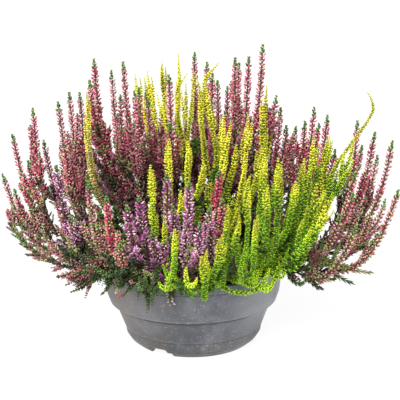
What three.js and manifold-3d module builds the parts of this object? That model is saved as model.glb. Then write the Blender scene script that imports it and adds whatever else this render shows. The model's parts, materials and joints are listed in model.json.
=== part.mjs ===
// Potted heather: a low round planting bowl filled with soil and planted with heather
// shoots of five looks (rose, crimson and lilac flower spikes, lime and green leafy shoots).
// Units are millimetres, +Z is up, and the origin is the centre of the bowl's foot on the floor.

import * as THREE from 'three';
import { mergeVertices } from 'three/addons/utils/BufferGeometryUtils.js';
import Module from 'manifold-3d';

const wasm = await Module();
wasm.setup();

// ---------------------------------------------------------------- driving sizes

const ROUND_STEPS = 32;          // facets round the bowl and the soil
const RIM_RADIUS = 115;          // the bowl is 230 mm across its rim band
const RIM_TOP = 105;
const FOOT_RADIUS = 73;
const FOOT_INNER_RADIUS = 68;
const FOOT_RECESS = 3.5;         // how far the underside is raised inside the foot ring
const FLOOR_TOP = 12;            // inside floor of the bowl
const NOTCH_ANGLES = [237, 57];  // two drainage notches in the foot, degrees from +X
const NOTCH_HEIGHT = 10.5;        // leaves 1.5 mm of the floor above it
const NOTCH_WIDTH_BELOW = 32;
const NOTCH_WIDTH_ABOVE = 20;
const NOTCH_INSET = 4;           // a notch begins this far inside the foot ring
const NOTCH_LENGTH = 40;

const FIT_GAP = 0.35;            // clearance between pieces that touch
const SOIL_TOP = 93;
const SOIL_RADIUS = 109.5;       // where the soil's top meets the bowl's inner wall
const SOIL_FLAT_RADIUS = 70;
const SOIL_ROUGHNESS = 2.4;      // how far the soil surface dips below SOIL_TOP
const ROOT_DEPTH = 12;           // how deep each woody stem stands in its hole
const ROOT_CIRCLE = 80;          // every stem is planted inside this radius
const ROOT_SHARE = 0.36;         // a stem's root lies this share of the way out to its tip
const ROOT_SPACING = 15;
const STEEPEST_LEAN = 74;        // how far from the vertical a stem leaves the soil at most

const STEM_RADIUS = 4.2;         // corner radius of the woody, leafy stem below the florets
const THIN_TIER = 0.68;          // every other leaf tier of a stem is this much thinner
const ROOT_RADIUS = 2.7;         // corner radius of the plain foot of a stem
const SIDE_ROOT_RADIUS = 1.9;    // corner radius of a side shoot where it leaves its stem
const STEM_PITCH = 20;           // from one leaf tier of a stem to the next
const FIRST_TIER = 8;            // the lowest leaf tier is this far up a main stem
const MAIN_BARE_SHARE = 0.42;    // at least this share of a main stem is below its zone
const SIDE_BARE_SHARE = 0.2;
const DRAWN_IN_TIER = 0.62;      // every other leaf tier of a leafy shoot's zone is drawn in
const LEAST_TIER = 0.9;          // florets and leaves vary in reach down to this share
const TIP_TIER = 0.42;           // the green tip's widest tier, as a share of the zone's radius

const POINT_STEP = 7;            // spacing of the points along a shoot's centre line
const FEWEST_STEPS = 8;
const CURVE_SLACK = 1.12;        // a curved shoot is about this much longer than a straight one

// A main stem's lean is the angle in degrees from the vertical to the straight line between
// its ends. Between the two bow angles it comes to bow fully outwards before it turns up, and
// between the two sag angles it comes to sink past the rim. Pairs are for none and for full.
const BOW_LEAN = [4, 24];
const SAG_LEAN = [48, 60];
const LEAVE_SHARE = [1.25, 2];   // the angle at the soil, as a share of the lean
const ARRIVE_SHARE = [0.2, 0.3]; // the angle at the tip, as a share of the lean
const PULL_SHARE = [0.42, 0.5];  // the reach of the curve's lower handle
const HOLD_SHARE = [0.45, 0.75]; // the reach of its upper handle
const HOLD_DROP = 0.86;          // the upper handle stays this far above the soil unless it sags

const SIDE_FORK = [0.3, 0.5];    // where side shoots fork, as a share of the main stem
const SIDE_AIM = 2;              // how much a side shoot's start points at its own tip
const SIDE_ARRIVE_SHARE = 0.3;
const SIDE_PULL_SHARE = 0.36;
const SIDE_HOLD_SHARE = 0.42;

const LOW_FORK = 3;              // the low shoot leaves its stem at this point of it
const OUTER_SPRAY = 105;         // sprays whose tips lie further out than this reach the rim
const LOW_SWING = 0.35;          // how far a low shoot is turned from its spray, in radians
const LOW_OUTER_RADIUS = [132, 166];
const LOW_OUTER_HEIGHT = [112, 150];
const LOW_INNER_REACH = 26;
const LOW_INNER_HEIGHT = [158, 200];
const EXTRA_ASIDE = [14, 24];    // how far an added side shoot's tip lies to one side
const EXTRA_DROP = [38, 62];     // and how far below the main tip

// A crooked shoot stands aside below its tip and bends back to it. Going down from the tip it
// stands fully aside from the first of these distances, and comes back to its line by the last.
const CROOK_REACH = [20, 34, 120];
const CROOKS = [[12, 0, -18], [9, 1, -14], [23, 0, 18]];  // spray, shoot, how far towards +X

const SPREAD_ROUNDS = 90;
const SPREAD_GAP = 2.6;          // clearance kept between the shoots of two sprays
const SPREAD_PUSH = 0.3;         // share of a lack of room that is made up in one round
const SPREAD_SMOOTHING = [0.35, 0.06];  // in the first round and in the last
const PAIR_ROUNDS = 10;          // near pairs are looked for again after this many rounds
const NEAR = 32;                 // pairs of points closer than this are watched
const ROOT_ROUNDS = 80;
const HELD_FOOT = 10;            // this much of a main stem isn't lifted off the soil
const STIFF_FOOT = 24;           // and this much gives way less and less towards the root
const ZONE_LEAD = 4;             // how far below its zone a shoot already counts as wide
const SOIL_ROOM = 1;             // clearance over the soil
const RIM_ROOM = 1.5;            // clearance over the rim
const RIM_SIDE_ROOM = 2.5;       // clearance beside the rim
const INSIDE_RIM = 94;           // within this radius a shoot is over the soil
const SEED = 18.8;               // sets every random choice

// Each look: length and radius of its floret or leaf zone, distance between tiers of
// florets, length of the bare green tip, and colour. A tier is three florets or leaves.
const LOOKS = {
  rose: { zone: 120, radius: 5.6, pitch: 12.5, tip: 13, color: 0x9a3f63 },
  crimson: { zone: 70, radius: 6.2, pitch: 10.5, tip: 10, color: 0xd6406a },
  lilac: { zone: 88, radius: 6.6, pitch: 11.5, tip: 10, color: 0xb065a6 },
  lime: { zone: 110, radius: 5.8, pitch: 11.5, tip: 12, color: 0xb9cf2c },
  green: { zone: 60, radius: 4.6, pitch: 10, tip: 8, color: 0x4d7a3a },
};

// Each spray: its look, then the tips of its shoots as [x, y, z]. The first tip belongs to
// the main stem, which stands in the soil, and the others to side shoots that fork from it.
// A fourth number is the shoot's angle from the vertical at its tip, where it droops.
const SPRAYS = [
  ['rose', [-244, 50, 208], [-222, -10, 204]],
  ['rose', [-230, 60, 258], [-206, 90, 286], [-208, 30, 230]],
  ['rose', [-168, 40, 304], [-158, 90, 306], [-146, 110, 302]],
  ['rose', [-120, 30, 360], [-124, -10, 340]],
  ['lime', [-126, -20, 330, 0]],
  ['rose', [-102, 90, 334], [-90, 70, 306]],
  ['rose', [-84, 40, 354], [-64, 10, 326]],
  ['lime', [-36, 70, 350], [-72, 100, 328], [-56, 110, 330]],
  ['rose', [-54, 50, 304], [-34, 80, 302]],
  ['lime', [-14, 40, 364], [-4, 30, 340], [4, 60, 338]],
  ['rose', [-26, 0, 344]],
  ['rose', [6, 80, 358], [22, 110, 340]],
  ['lime', [36, 0, 358], [12, -10, 328]],
  ['rose', [28, 50, 336]],
  ['rose', [74, 40, 358], [58, 70, 352], [64, 100, 340]],
  ['rose', [90, 10, 378], [106, 0, 316]],
  ['lime', [94, -10, 332]],
  ['rose', [118, 90, 282], [126, 100, 256], [140, 120, 250]],
  ['rose', [158, 50, 290], [148, 70, 268], [168, 90, 260]],
  ['rose', [172, 20, 286], [180, 0, 246]],
  ['lime', [150, -40, 272], [172, -10, 268]],
  ['lime', [68, -70, 306], [84, -90, 272]],
  ['lime', [40, -50, 304]],
  ['lime', [216, -30, 324, 24], [196, -30, 270]],
  ['rose', [228, -10, 270], [210, 20, 278], [222, 64, 236]],
  ['rose', [246, -40, 266], [238, 34, 230]],
  ['rose', [198, -60, 232], [194, -80, 212]],
  ['rose', [248, -85, 216], [236, -60, 198]],
  ['crimson', [-98, -150, 230], [-86, -150, 176]],
  ['rose', [-122, -110, 238], [-112, -120, 188]],
  ['lilac', [-164, -60, 246], [-146, -100, 194]],
  ['lilac', [-62, -150, 230], [-74, -165, 224], [-48, -160, 190]],
  ['lilac', [-28, -100, 244], [-24, -130, 212]],
  ['lilac', [-2, -165, 250], [8, -175, 206]],
  ['lilac', [20, -150, 216]],
  ['lime', [-48, -110, 258]],
  ['lime', [-20, -195, 204]],
  ['lime', [-26, -80, 282], [-14, -110, 226]],
  ['lime', [-4, -60, 274], [14, -100, 260]],
  ['lime', [44, -170, 224], [52, -175, 214]],
  ['lime', [88, -120, 268], [102, -110, 264]],
  ['lime', [104, -130, 258], [88, -150, 242]],
  ['lime', [134, -90, 258], [122, -120, 238]],
  ['lime', [148, -110, 232], [156, -120, 208]],
  ['lime', [66, -170, 240], [74, -185, 216]],
  ['lime', [16, -185, 176], [34, -180, 192]],
  ['crimson', [32, -90, 242], [36, -110, 214]],
  ['rose', [198, -90, 174], [176, -100, 190]],
  ['green', [-158, -60, 92, 110], [-150, -86, 92, 100], [-112, -104, 94, 110]],
  ['green', [204, -62, 108, 100], [162, -74, 100, 120], [186, -84, 118, 80]],
  ['green', [-86, -134, 100, 110], [-50, -146, 100, 110], [-16, -132, 90, 150]],
  ['rose', [-196, 112, 238], [-176, 132, 226], [-212, 92, 222], [-158, 158, 192]],
  ['lilac', [-118, 150, 250], [-98, 165, 262], [-140, 140, 224], [-80, 186, 214]],
  ['rose', [-60, 150, 296], [-40, 170, 268], [-74, 130, 300], [-52, 192, 220]],
  ['lime', [-6, 150, 304], [12, 165, 280], [-20, 180, 246], [8, 196, 204]],
  ['rose', [50, 150, 300], [70, 165, 268], [36, 130, 312], [56, 190, 220]],
  ['lilac', [112, 150, 258], [96, 170, 234], [130, 140, 228], [86, 186, 204]],
  ['lime', [170, 125, 240], [152, 145, 222], [186, 110, 234], [140, 160, 196]],
];

// ---------------------------------------------------------------- small helpers

const vec = (x, y, z) => new THREE.Vector3(x, y, z);
const degrees = THREE.MathUtils.degToRad;
const lerp = THREE.MathUtils.lerp;
const between = ([low, high], share) => lerp(low, high, share);

// A repeatable random number from 0 to 1 for one use in one shoot of one spray.
function chance(spray, shoot, use) {
  const wave = Math.sin(SEED + 12.9898 * spray + 78.233 * shoot + 37.719 * use) * 43758.5453;
  return wave - Math.floor(wave);
}

function toSolid(geometry) {
  const bare = geometry.index ? geometry.clone() : geometry;
  bare.deleteAttribute('normal');
  bare.deleteAttribute('uv');
  const merged = mergeVertices(bare, 1e-4);
  return new wasm.Manifold(new wasm.Mesh({
    numProp: 3,
    vertProperties: new Float32Array(merged.attributes.position.array),
    triVerts: new Uint32Array(merged.index.array),
  }));
}

function toGeometry(solid) {
  const mesh = solid.getMesh();
  const geometry = new THREE.BufferGeometry();
  geometry.setAttribute('position', new THREE.BufferAttribute(new Float32Array(mesh.vertProperties), 3));
  geometry.setIndex(Array.from(mesh.triVerts));
  return geometry;
}

function namedMesh(name, solid, color, roughness) {
  const material = new THREE.MeshStandardMaterial({ color, roughness, metalness: 0 });
  const mesh = new THREE.Mesh(toGeometry(solid), material);
  mesh.name = name;
  return mesh;
}

// A closed body of revolution about Z from a profile of [radius, z] points.
function turned(profile) {
  const points = profile.map(([radius, z]) => new THREE.Vector2(radius, z));
  const geometry = new THREE.LatheGeometry(points, ROUND_STEPS);
  geometry.rotateX(Math.PI / 2);
  return geometry;
}

// ---------------------------------------------------------------- bowl

const OUTER_WALL = [
  [0, FOOT_RECESS],
  [FOOT_INNER_RADIUS, FOOT_RECESS],
  [FOOT_INNER_RADIUS + 1, 0],
  [FOOT_RADIUS, 0],
  [81.9, 7.3],
  [86.6, 14.7],
  [87, 22],
  [88.2, 22.8],              // faint lower step
  [100, 55],
  [106.5, 56.2],             // middle step: the wall above stands out over the wall below
  [110.6, 68],
  [113, 94.6],
  [RIM_RADIUS, 95.6],        // underside of the rim band
  [RIM_RADIUS, RIM_TOP - 1],
  [RIM_RADIUS - 1, RIM_TOP],
];

const INNER_WALL = [
  [111, RIM_TOP],
  [110.2, 96],
  [108.2, 68],
  [97, 53],
  [84.6, 22],
  [79, FLOOR_TOP],
  [0, FLOOR_TOP],
];

// A notch through the foot ring, wider below than above.
function footNotch(angle) {
  const shape = new THREE.Shape([
    new THREE.Vector2(-NOTCH_WIDTH_BELOW / 2, -1),
    new THREE.Vector2(NOTCH_WIDTH_BELOW / 2, -1),
    new THREE.Vector2(NOTCH_WIDTH_ABOVE / 2, NOTCH_HEIGHT),
    new THREE.Vector2(-NOTCH_WIDTH_ABOVE / 2, NOTCH_HEIGHT),
  ]);
  const geometry = new THREE.ExtrudeGeometry(shape, { depth: NOTCH_LENGTH, bevelEnabled: false });
  geometry.rotateX(Math.PI / 2);
  geometry.rotateZ(Math.PI);
  geometry.translate(0, FOOT_INNER_RADIUS - NOTCH_INSET, 0);
  geometry.rotateZ(degrees(angle - 90));
  return toSolid(geometry);
}

function bowlSolid() {
  let bowl = toSolid(turned([...OUTER_WALL, ...INNER_WALL]));
  for (const angle of NOTCH_ANGLES) bowl = bowl.subtract(footNotch(angle));
  return bowl;
}

// ---------------------------------------------------------------- centre lines of the shoots

// A unit direction that leans from the vertical towards the level direction `level`.
function leaning(level, angle) {
  return vec(level.x * Math.sin(angle), level.y * Math.sin(angle), Math.cos(angle));
}

function levelDirection(from, to) {
  const level = vec(to.x - from.x, to.y - from.y, 0);
  return level.length() > 1 ? level.normalize() : vec(1, 0, 0);
}

// Roots lie inwards of their tips, inside the root circle, and spread apart on the soil.
function plantRoots() {
  const roots = SPRAYS.map(([, tip]) => {
    const out = Math.hypot(tip[0], tip[1]);
    const radius = Math.min(out * ROOT_SHARE, ROOT_CIRCLE);
    return [tip[0] / out * radius, tip[1] / out * radius];
  });
  for (let round = 0; round < ROOT_ROUNDS; round += 1) {
    for (let i = 0; i < roots.length; i += 1) {
      for (let j = 0; j < i; j += 1) {
        const dx = roots[i][0] - roots[j][0];
        const dy = roots[i][1] - roots[j][1];
        const apart = Math.hypot(dx, dy);
        if (apart >= ROOT_SPACING) continue;
        const push = (ROOT_SPACING - apart) / 2 / apart;
        roots[i][0] += dx * push;
        roots[i][1] += dy * push;
        roots[j][0] -= dx * push;
        roots[j][1] -= dy * push;
      }
    }
    for (const root of roots) {
      const out = Math.hypot(root[0], root[1]);
      if (out > ROOT_CIRCLE) {
        root[0] *= ROOT_CIRCLE / out;
        root[1] *= ROOT_CIRCLE / out;
      }
    }
  }
  return roots;
}

// Points along a cubic curve, about POINT_STEP apart.
function curvePoints(start, pull, hold, tip) {
  const curve = new THREE.CubicBezierCurve3(start, pull, hold, tip);
  const count = Math.max(FEWEST_STEPS, Math.round(start.distanceTo(tip) * CURVE_SLACK / POINT_STEP));
  const points = [];
  for (let i = 0; i <= count; i += 1) points.push(curve.getPoint(i / count));
  return points;
}

// How far an angle has come from the lower to the upper of two angles in degrees.
function shareOf(angle, [low, high]) {
  return THREE.MathUtils.smoothstep(angle, degrees(low), degrees(high));
}

// The main stem leaves the soil leaning outwards, passes over the rim and turns up.
function mainLine(root, tip) {
  const start = vec(root[0], root[1], SOIL_TOP + 2);
  const level = levelDirection(start, tip);
  const reach = start.distanceTo(tip);
  const lean = Math.acos(THREE.MathUtils.clamp((tip.z - start.z) / reach, -1, 1));
  const bow = shareOf(lean, BOW_LEAN);
  const sag = shareOf(lean, SAG_LEAN);
  const leave = Math.min(between(LEAVE_SHARE, bow) * lean, degrees(STEEPEST_LEAN));
  const arrive = tip.droop ?? between(ARRIVE_SHARE, sag) * lean;
  const lowest = lerp(HOLD_DROP * (tip.z - start.z), reach, sag);
  const drop = Math.min(between(HOLD_SHARE, bow) * reach, lowest);
  const pull = start.clone().addScaledVector(leaning(level, leave), between(PULL_SHARE, bow) * reach);
  const hold = tip.clone().addScaledVector(leaning(level, arrive), -drop);
  return curvePoints(start, pull, hold, tip);
}

// A side shoot forks from a point of the main stem and swings round to its own tip.
function sideLine(main, at, tip) {
  const start = main[at].clone();
  const along = main[at + 1].clone().sub(main[at - 1]).normalize();
  const reach = start.distanceTo(tip);
  const aim = tip.clone().sub(start).normalize();
  const level = levelDirection(vec(0, 0, 0), tip);
  const arrive = tip.droop ?? SIDE_ARRIVE_SHARE * Math.acos(aim.z);
  const leave = along.addScaledVector(aim, SIDE_AIM).normalize();
  const pull = start.clone().addScaledVector(leave, SIDE_PULL_SHARE * reach);
  const hold = tip.clone().addScaledVector(leaning(level, arrive), -SIDE_HOLD_SHARE * reach);
  return curvePoints(start, pull, hold, tip);
}

function tipPoint([x, y, z, droop]) {
  const tip = vec(x, y, z);
  if (droop !== undefined) tip.droop = degrees(droop);
  return tip;
}

// Every spray also has a low leafy shoot, which fills the plant's foot or hangs at the rim.
function lowTip(root, tip, spray) {
  const out = Math.hypot(tip.x, tip.y);
  const swing = lerp(-LOW_SWING, LOW_SWING, chance(spray, 8, 1));
  const angle = Math.atan2(tip.y, tip.x) + swing;
  const outer = out > OUTER_SPRAY;
  const inner = Math.hypot(root[0], root[1]) + LOW_INNER_REACH;
  const radius = outer ? between(LOW_OUTER_RADIUS, chance(spray, 8, 2)) : inner;
  const height = between(outer ? LOW_OUTER_HEIGHT : LOW_INNER_HEIGHT, chance(spray, 8, 3));
  return vec(radius * Math.cos(angle), radius * Math.sin(angle), height);
}

// A spray with a single tip gets one side shoot of its own, lower and to one side.
function extraTip(tip, spray) {
  const side = chance(spray, 9, 1) < 0.5 ? -1 : 1;
  const out = Math.hypot(tip.x, tip.y) + 1;
  const aside = side * between(EXTRA_ASIDE, chance(spray, 9, 2));
  const drop = between(EXTRA_DROP, chance(spray, 9, 3));
  return vec(tip.x - tip.y / out * aside, tip.y + tip.x / out * aside, tip.z - drop);
}

function layOutShoots() {
  const roots = plantRoots();
  const shoots = [];
  SPRAYS.forEach(([look, ...tipList], spray) => {
    const tips = tipList.map(tipPoint);
    if (tips.length === 1) tips.push(extraTip(tips[0], spray));
    const main = { spray, look, parent: -1, at: 0, points: mainLine(roots[spray], tips[0]) };
    const mainIndex = shoots.length;
    shoots.push(main);
    tips.slice(1).forEach((tip, index) => {
      const share = between(SIDE_FORK, chance(spray, index + 1, 0));
      const at = Math.max(2, Math.round(share * (main.points.length - 1)));
      const points = sideLine(main.points, at, tip);
      shoots.push({ spray, look, parent: mainIndex, at, points });
    });
    const low = lowTip(roots[spray], tips[0], spray);
    const points = sideLine(main.points, LOW_FORK, low);
    shoots.push({ spray, look, parent: mainIndex, at: LOW_FORK, points });
  });
  return shoots;
}

// Distance along a line of points, point by point.
function runningLength(points) {
  const run = [0];
  for (let i = 1; i < points.length; i += 1) run.push(run[i - 1] + points[i].distanceTo(points[i - 1]));
  return run;
}

// Where the floret or leaf zone of a shoot begins, measured along it.
function zoneStart(shoot, length) {
  const { zone, tip } = LOOKS[shoot.look];
  const bare = shoot.parent < 0 ? MAIN_BARE_SHARE : SIDE_BARE_SHARE;
  return Math.max(length - zone - tip, bare * length);
}

// The lowest height at which a shoot of some radius clears the soil and the rim.
function clearHeight(x, y, radius) {
  const out = Math.hypot(x, y);
  if (out < INSIDE_RIM) return SOIL_TOP + radius + SOIL_ROOM;
  return out < RIM_RADIUS + radius + RIM_SIDE_ROOM ? RIM_TOP + radius + RIM_ROOM : 0;
}

// Shoots of different sprays that come too close are bent apart. Every point keeps its
// shift from where it was laid out, shifts are smoothed along each shoot, and roots stay.
function spreadShoots(shoots) {
  const dots = [];
  shoots.forEach((shoot, index) => {
    const run = runningLength(shoot.points);
    const zone = zoneStart(shoot, run[run.length - 1]);
    shoot.first = dots.length;
    shoot.points.forEach((home, i) => {
      const inZone = run[i] >= zone - ZONE_LEAD;
      dots.push({
        index,
        spray: shoot.spray,
        home,
        place: home.clone(),
        shift: vec(0, 0, 0),
        push: vec(0, 0, 0),
        inZone,
        radius: inZone ? LOOKS[shoot.look].radius : STEM_RADIUS,
        freedom: shoot.parent < 0 ? Math.min(1, run[i] / STIFF_FOOT) : 1,
        run: run[i],
      });
    });
  });
  let pairs = [];
  const gap = vec(0, 0, 0);
  for (let round = 0; round < SPREAD_ROUNDS; round += 1) {
    if (round % PAIR_ROUNDS === 0) pairs = nearPairs(dots);
    for (const dot of dots) dot.push.set(0, 0, 0);
    for (const [a, b] of pairs) {
      gap.subVectors(a.place, b.place);
      const apart = Math.max(gap.length(), 1e-6);
      const wanted = a.radius + b.radius + SPREAD_GAP;
      if (apart >= wanted) continue;
      gap.multiplyScalar(SPREAD_PUSH * (wanted - apart) / apart);
      a.push.add(gap);
      b.push.sub(gap);
    }
    for (const dot of dots) dot.shift.addScaledVector(dot.push, dot.freedom);
    const smoothing = between(SPREAD_SMOOTHING, round / SPREAD_ROUNDS);
    for (const shoot of shoots) settle(shoot, shoots, dots, smoothing);
  }
  for (const shoot of shoots) {
    shoot.radii = shoot.points.map((home, i) => dots[shoot.first + i].radius);
    shoot.points = shoot.points.map((home, i) => dots[shoot.first + i].place);
  }
}

function nearPairs(dots) {
  const pairs = [];
  for (let i = 0; i < dots.length; i += 1) {
    const a = dots[i];
    for (let j = 0; j < i; j += 1) {
      const b = dots[j];
      if (a.index === b.index) continue;
      if (a.spray === b.spray && !(a.inZone && b.inZone)) continue;
      if (a.place.distanceToSquared(b.place) < NEAR * NEAR) pairs.push([a, b]);
    }
  }
  return pairs;
}

// Smooths one shoot's shifts, ties a side shoot to its stem and keeps it off the rim.
function settle(shoot, shoots, dots, smoothing) {
  const count = shoot.points.length;
  const own = dots.slice(shoot.first, shoot.first + count);
  const before = own.map((dot) => dot.shift.clone());
  for (let i = 1; i < count; i += 1) {
    const next = before[Math.min(i + 1, count - 1)];
    const middle = before[i - 1].clone().add(next).multiplyScalar(0.5);
    own[i].shift.lerp(middle, smoothing);
  }
  if (shoot.parent >= 0) own[0].shift.copy(dots[shoots[shoot.parent].first + shoot.at].shift);
  for (const dot of own) {
    dot.place.addVectors(dot.home, dot.shift);
    if (shoot.parent < 0 && dot.run < HELD_FOOT) continue;
    const lowest = clearHeight(dot.place.x, dot.place.y, dot.radius);
    if (dot.place.z < lowest) {
      dot.shift.z += lowest - dot.place.z;
      dot.place.z = lowest;
    }
  }
}

// Bends the crooked shoots.
function crookShoots(shoots) {
  const [full, back, end] = CROOK_REACH;
  for (const [spray, index, aside] of CROOKS) {
    const { points } = shoots.filter((shoot) => shoot.spray === spray)[index];
    const run = runningLength(points);
    points.forEach((point, i) => {
      const left = run[run.length - 1] - run[i];
      const share = Math.min(1, left / full) * (1 - THREE.MathUtils.smoothstep(left, back, end));
      point.x += aside * share;
    });
  }
}

// ---------------------------------------------------------------- solids of the shoots

// The place and direction at some distance along a line of points.
function alongLine(points, run, distance) {
  let i = 1;
  while (i < points.length - 1 && run[i] < distance) i += 1;
  const share = (distance - run[i - 1]) / (run[i] - run[i - 1]);
  return {
    place: points[i - 1].clone().lerp(points[i], share),
    direction: points[i].clone().sub(points[i - 1]).normalize(),
  };
}

// How far along a side shoot its leaves clear the stem that it forks from.
function clearOfStem(shoot, stem, run) {
  for (let i = 1; i < shoot.points.length / 2; i += 1) {
    const room = (point, j) => shoot.points[i].distanceTo(point) - stem.radii[j];
    if (Math.min(...stem.points.map(room)) > STEM_RADIUS) return run[i];
  }
  return run[Math.floor(shoot.points.length / 2)];
}

// How full a zone is at a share of its length: slim at its foot, widest low down, then tapering.
function fullness(share) {
  const bulge = Math.sin(Math.PI * Math.min(1, share * 1.3 + 0.1));
  return lerp(0.8, 1, bulge) * lerp(1, 0.82, share);
}

// The tiers of a shoot: how far along each lies and its corner radius. Below the zone the
// tiers are leaf whorls on the stem; in the zone they are florets or leaves, fuller in the
// middle; the last ones narrow to the green tip. Every other tier of a leafy shoot is drawn
// in, so that the leaves stand out as points.
function tiersOf(shoot, stem, run) {
  const look = LOOKS[shoot.look];
  const length = run[run.length - 1];
  const begin = shoot === stem ? FIRST_TIER : clearOfStem(shoot, stem, run);
  const zone = Math.max(zoneStart(shoot, length), begin + 1);
  const zoneEnd = length - look.tip;
  const tiers = [];
  const stemTiers = Math.round((zone - begin) / STEM_PITCH);
  for (let i = 0; i < stemTiers; i += 1) {
    const radius = i % 2 ? STEM_RADIUS : STEM_RADIUS * THIN_TIER;
    tiers.push([lerp(begin, zone, i / stemTiers), radius]);
  }
  const zoneTiers = Math.max(3, Math.round((zoneEnd - zone) / look.pitch));
  const leafy = shoot.look === 'lime' || shoot.look === 'green';
  for (let i = 0; i < zoneTiers; i += 1) {
    const share = i / (zoneTiers - 1);
    const drawnIn = leafy && i % 2 ? DRAWN_IN_TIER : 1;
    const uneven = lerp(LEAST_TIER, 1, chance(shoot.spray, shoot.at + i, 5));
    tiers.push([lerp(zone, zoneEnd, share), look.radius * fullness(share) * drawnIn * uneven]);
  }
  tiers.push([lerp(zoneEnd, length, 0.5), look.radius * TIP_TIER]);
  return tiers;
}

// One shoot: three-cornered tiers, each turned by a sixth from the last, closed by a point.
function shootSolid(shoot, stem) {
  const run = runningLength(shoot.points);
  const corners = [];
  const normal = vec(1, 0, 0);
  let turn = chance(shoot.spray, shoot.at, 6) * Math.PI;
  const addTier = (place, direction, radius) => {
    normal.addScaledVector(direction, -normal.dot(direction)).normalize();
    const across = direction.clone().cross(normal);
    for (let k = 0; k < 3; k += 1) {
      const angle = turn + k * Math.PI * 2 / 3;
      corners.push(place.clone()
        .addScaledVector(normal, radius * Math.cos(angle))
        .addScaledVector(across, radius * Math.sin(angle)));
    }
  };
  if (shoot.parent < 0) {
    const foot = shoot.points[0];
    turn = 0;
    addTier(vec(foot.x, foot.y, SOIL_TOP - ROOT_DEPTH), vec(0, 0, 1), ROOT_RADIUS);
    addTier(vec(foot.x, foot.y, SOIL_TOP + 2), vec(0, 0, 1), ROOT_RADIUS);
  } else {
    const start = alongLine(shoot.points, run, 0);
    if (Math.abs(start.direction.x) > 0.9) normal.set(0, 1, 0);
    addTier(start.place, start.direction, SIDE_ROOT_RADIUS);
  }
  for (const [distance, radius] of tiersOf(shoot, stem, run)) {
    turn += Math.PI / 3;
    const { place, direction } = alongLine(shoot.points, run, distance);
    addTier(place, direction, radius);
  }
  corners.push(shoot.points[shoot.points.length - 1].clone());
  return closedStack(corners);
}

// Joins the tiers' corners, three to a tier and one last point, into a closed solid.
function closedStack(corners) {
  const tiers = (corners.length - 1) / 3;
  const faces = [0, 2, 1];
  for (let t = 0; t < tiers - 1; t += 1) {
    for (let k = 0; k < 3; k += 1) {
      const a = t * 3 + k;
      const b = t * 3 + (k + 1) % 3;
      faces.push(a, b, a + 3);
      faces.push(b, b + 3, a + 3);
    }
  }
  const top = corners.length - 1;
  const last = top - 3;
  for (let k = 0; k < 3; k += 1) faces.push(last + k, last + (k + 1) % 3, top);
  return new wasm.Manifold(new wasm.Mesh({
    numProp: 3,
    vertProperties: new Float32Array(corners.flatMap(({ x, y, z }) => [x, y, z])),
    triVerts: new Uint32Array(faces),
  }));
}

// The biggest of the loose pieces that a join leaves.
function wholePiece(solid) {
  return solid.decompose().reduce((best, piece) => (piece.volume() > best.volume() ? piece : best));
}

function spraySolid(shoots) {
  const [stem, ...sides] = shoots;
  let spray = shootSolid(stem, stem);
  for (const side of sides) spray = spray.add(shootSolid(side, stem));
  return wholePiece(spray);
}

// ---------------------------------------------------------------- soil

// The soil fills the bowl to just under the rim, with a plain hole for every stem.
function soilSolid(shoots) {
  const wall = INNER_WALL.filter(([radius, z]) => z < SOIL_TOP && radius > 0).reverse();
  const profile = [[0, FLOOR_TOP + FIT_GAP]];
  for (const [radius, z] of wall) {
    profile.push([radius - FIT_GAP, Math.max(z, FLOOR_TOP + FIT_GAP)]);
  }
  profile.push([SOIL_RADIUS, SOIL_TOP - 2], [SOIL_FLAT_RADIUS, SOIL_TOP], [0, SOIL_TOP]);
  const geometry = turned(profile);
  const position = geometry.attributes.position;
  for (let i = 0; i < position.count; i += 1) {
    const x = position.getX(i);
    const y = position.getY(i);
    const lowering = (Math.sin(0.11 * x + 1.3) + Math.cos(0.13 * y - 0.6) + 2) / 4;
    if (position.getZ(i) > SOIL_TOP - 1) position.setZ(i, SOIL_TOP - SOIL_ROUGHNESS * lowering);
  }
  let soil = toSolid(geometry);
  for (const shoot of shoots) {
    if (shoot.parent < 0) soil = soil.subtract(stemHole(shoot.points[0]));
  }
  return soil;
}

// A three-cornered hole that leaves FIT_GAP round a stem's foot and below it.
function stemHole(foot) {
  const radius = ROOT_RADIUS + 2 * FIT_GAP;
  const bottom = SOIL_TOP - ROOT_DEPTH - FIT_GAP;
  const depth = ROOT_DEPTH + 6;
  const hole = new THREE.CylinderGeometry(radius, radius, depth, 3);
  hole.rotateX(Math.PI / 2);
  hole.rotateZ(Math.PI / 2);
  hole.translate(foot.x, foot.y, bottom + depth / 2);
  return toSolid(hole);
}

// ---------------------------------------------------------------- assembly

const shoots = layOutShoots();
spreadShoots(shoots);
crookShoots(shoots);

const group = new THREE.Group();
group.add(namedMesh('bowl', bowlSolid(), 0x6d6e76, 0.6));
group.add(namedMesh('soil', soilSolid(shoots), 0x2b2118, 0.95));

const sprays = new THREE.Group();
const numbers = {};
SPRAYS.forEach(([look], index) => {
  numbers[look] = (numbers[look] ?? 0) + 1;
  const name = `${look}_spray_${String(numbers[look]).padStart(2, '0')}`;
  const own = shoots.filter((shoot) => shoot.spray === index);
  sprays.add(namedMesh(name, spraySolid(own), LOOKS[look].color, 0.8));
});
group.add(sprays);

export default group;
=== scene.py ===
"""Potted heather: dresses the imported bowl, soil and sprays in their fine shapes and materials.

Lengths are millimetres while a shape is worked out, as in the CAD source, and metres in Blender.
The centre lines of the shoots repeat the CAD source's rules, so every fine shoot lies on its solid.
"""

import json
import math
from collections import namedtuple

import bpy
import numpy as np
from mathutils import Matrix, Vector

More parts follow.
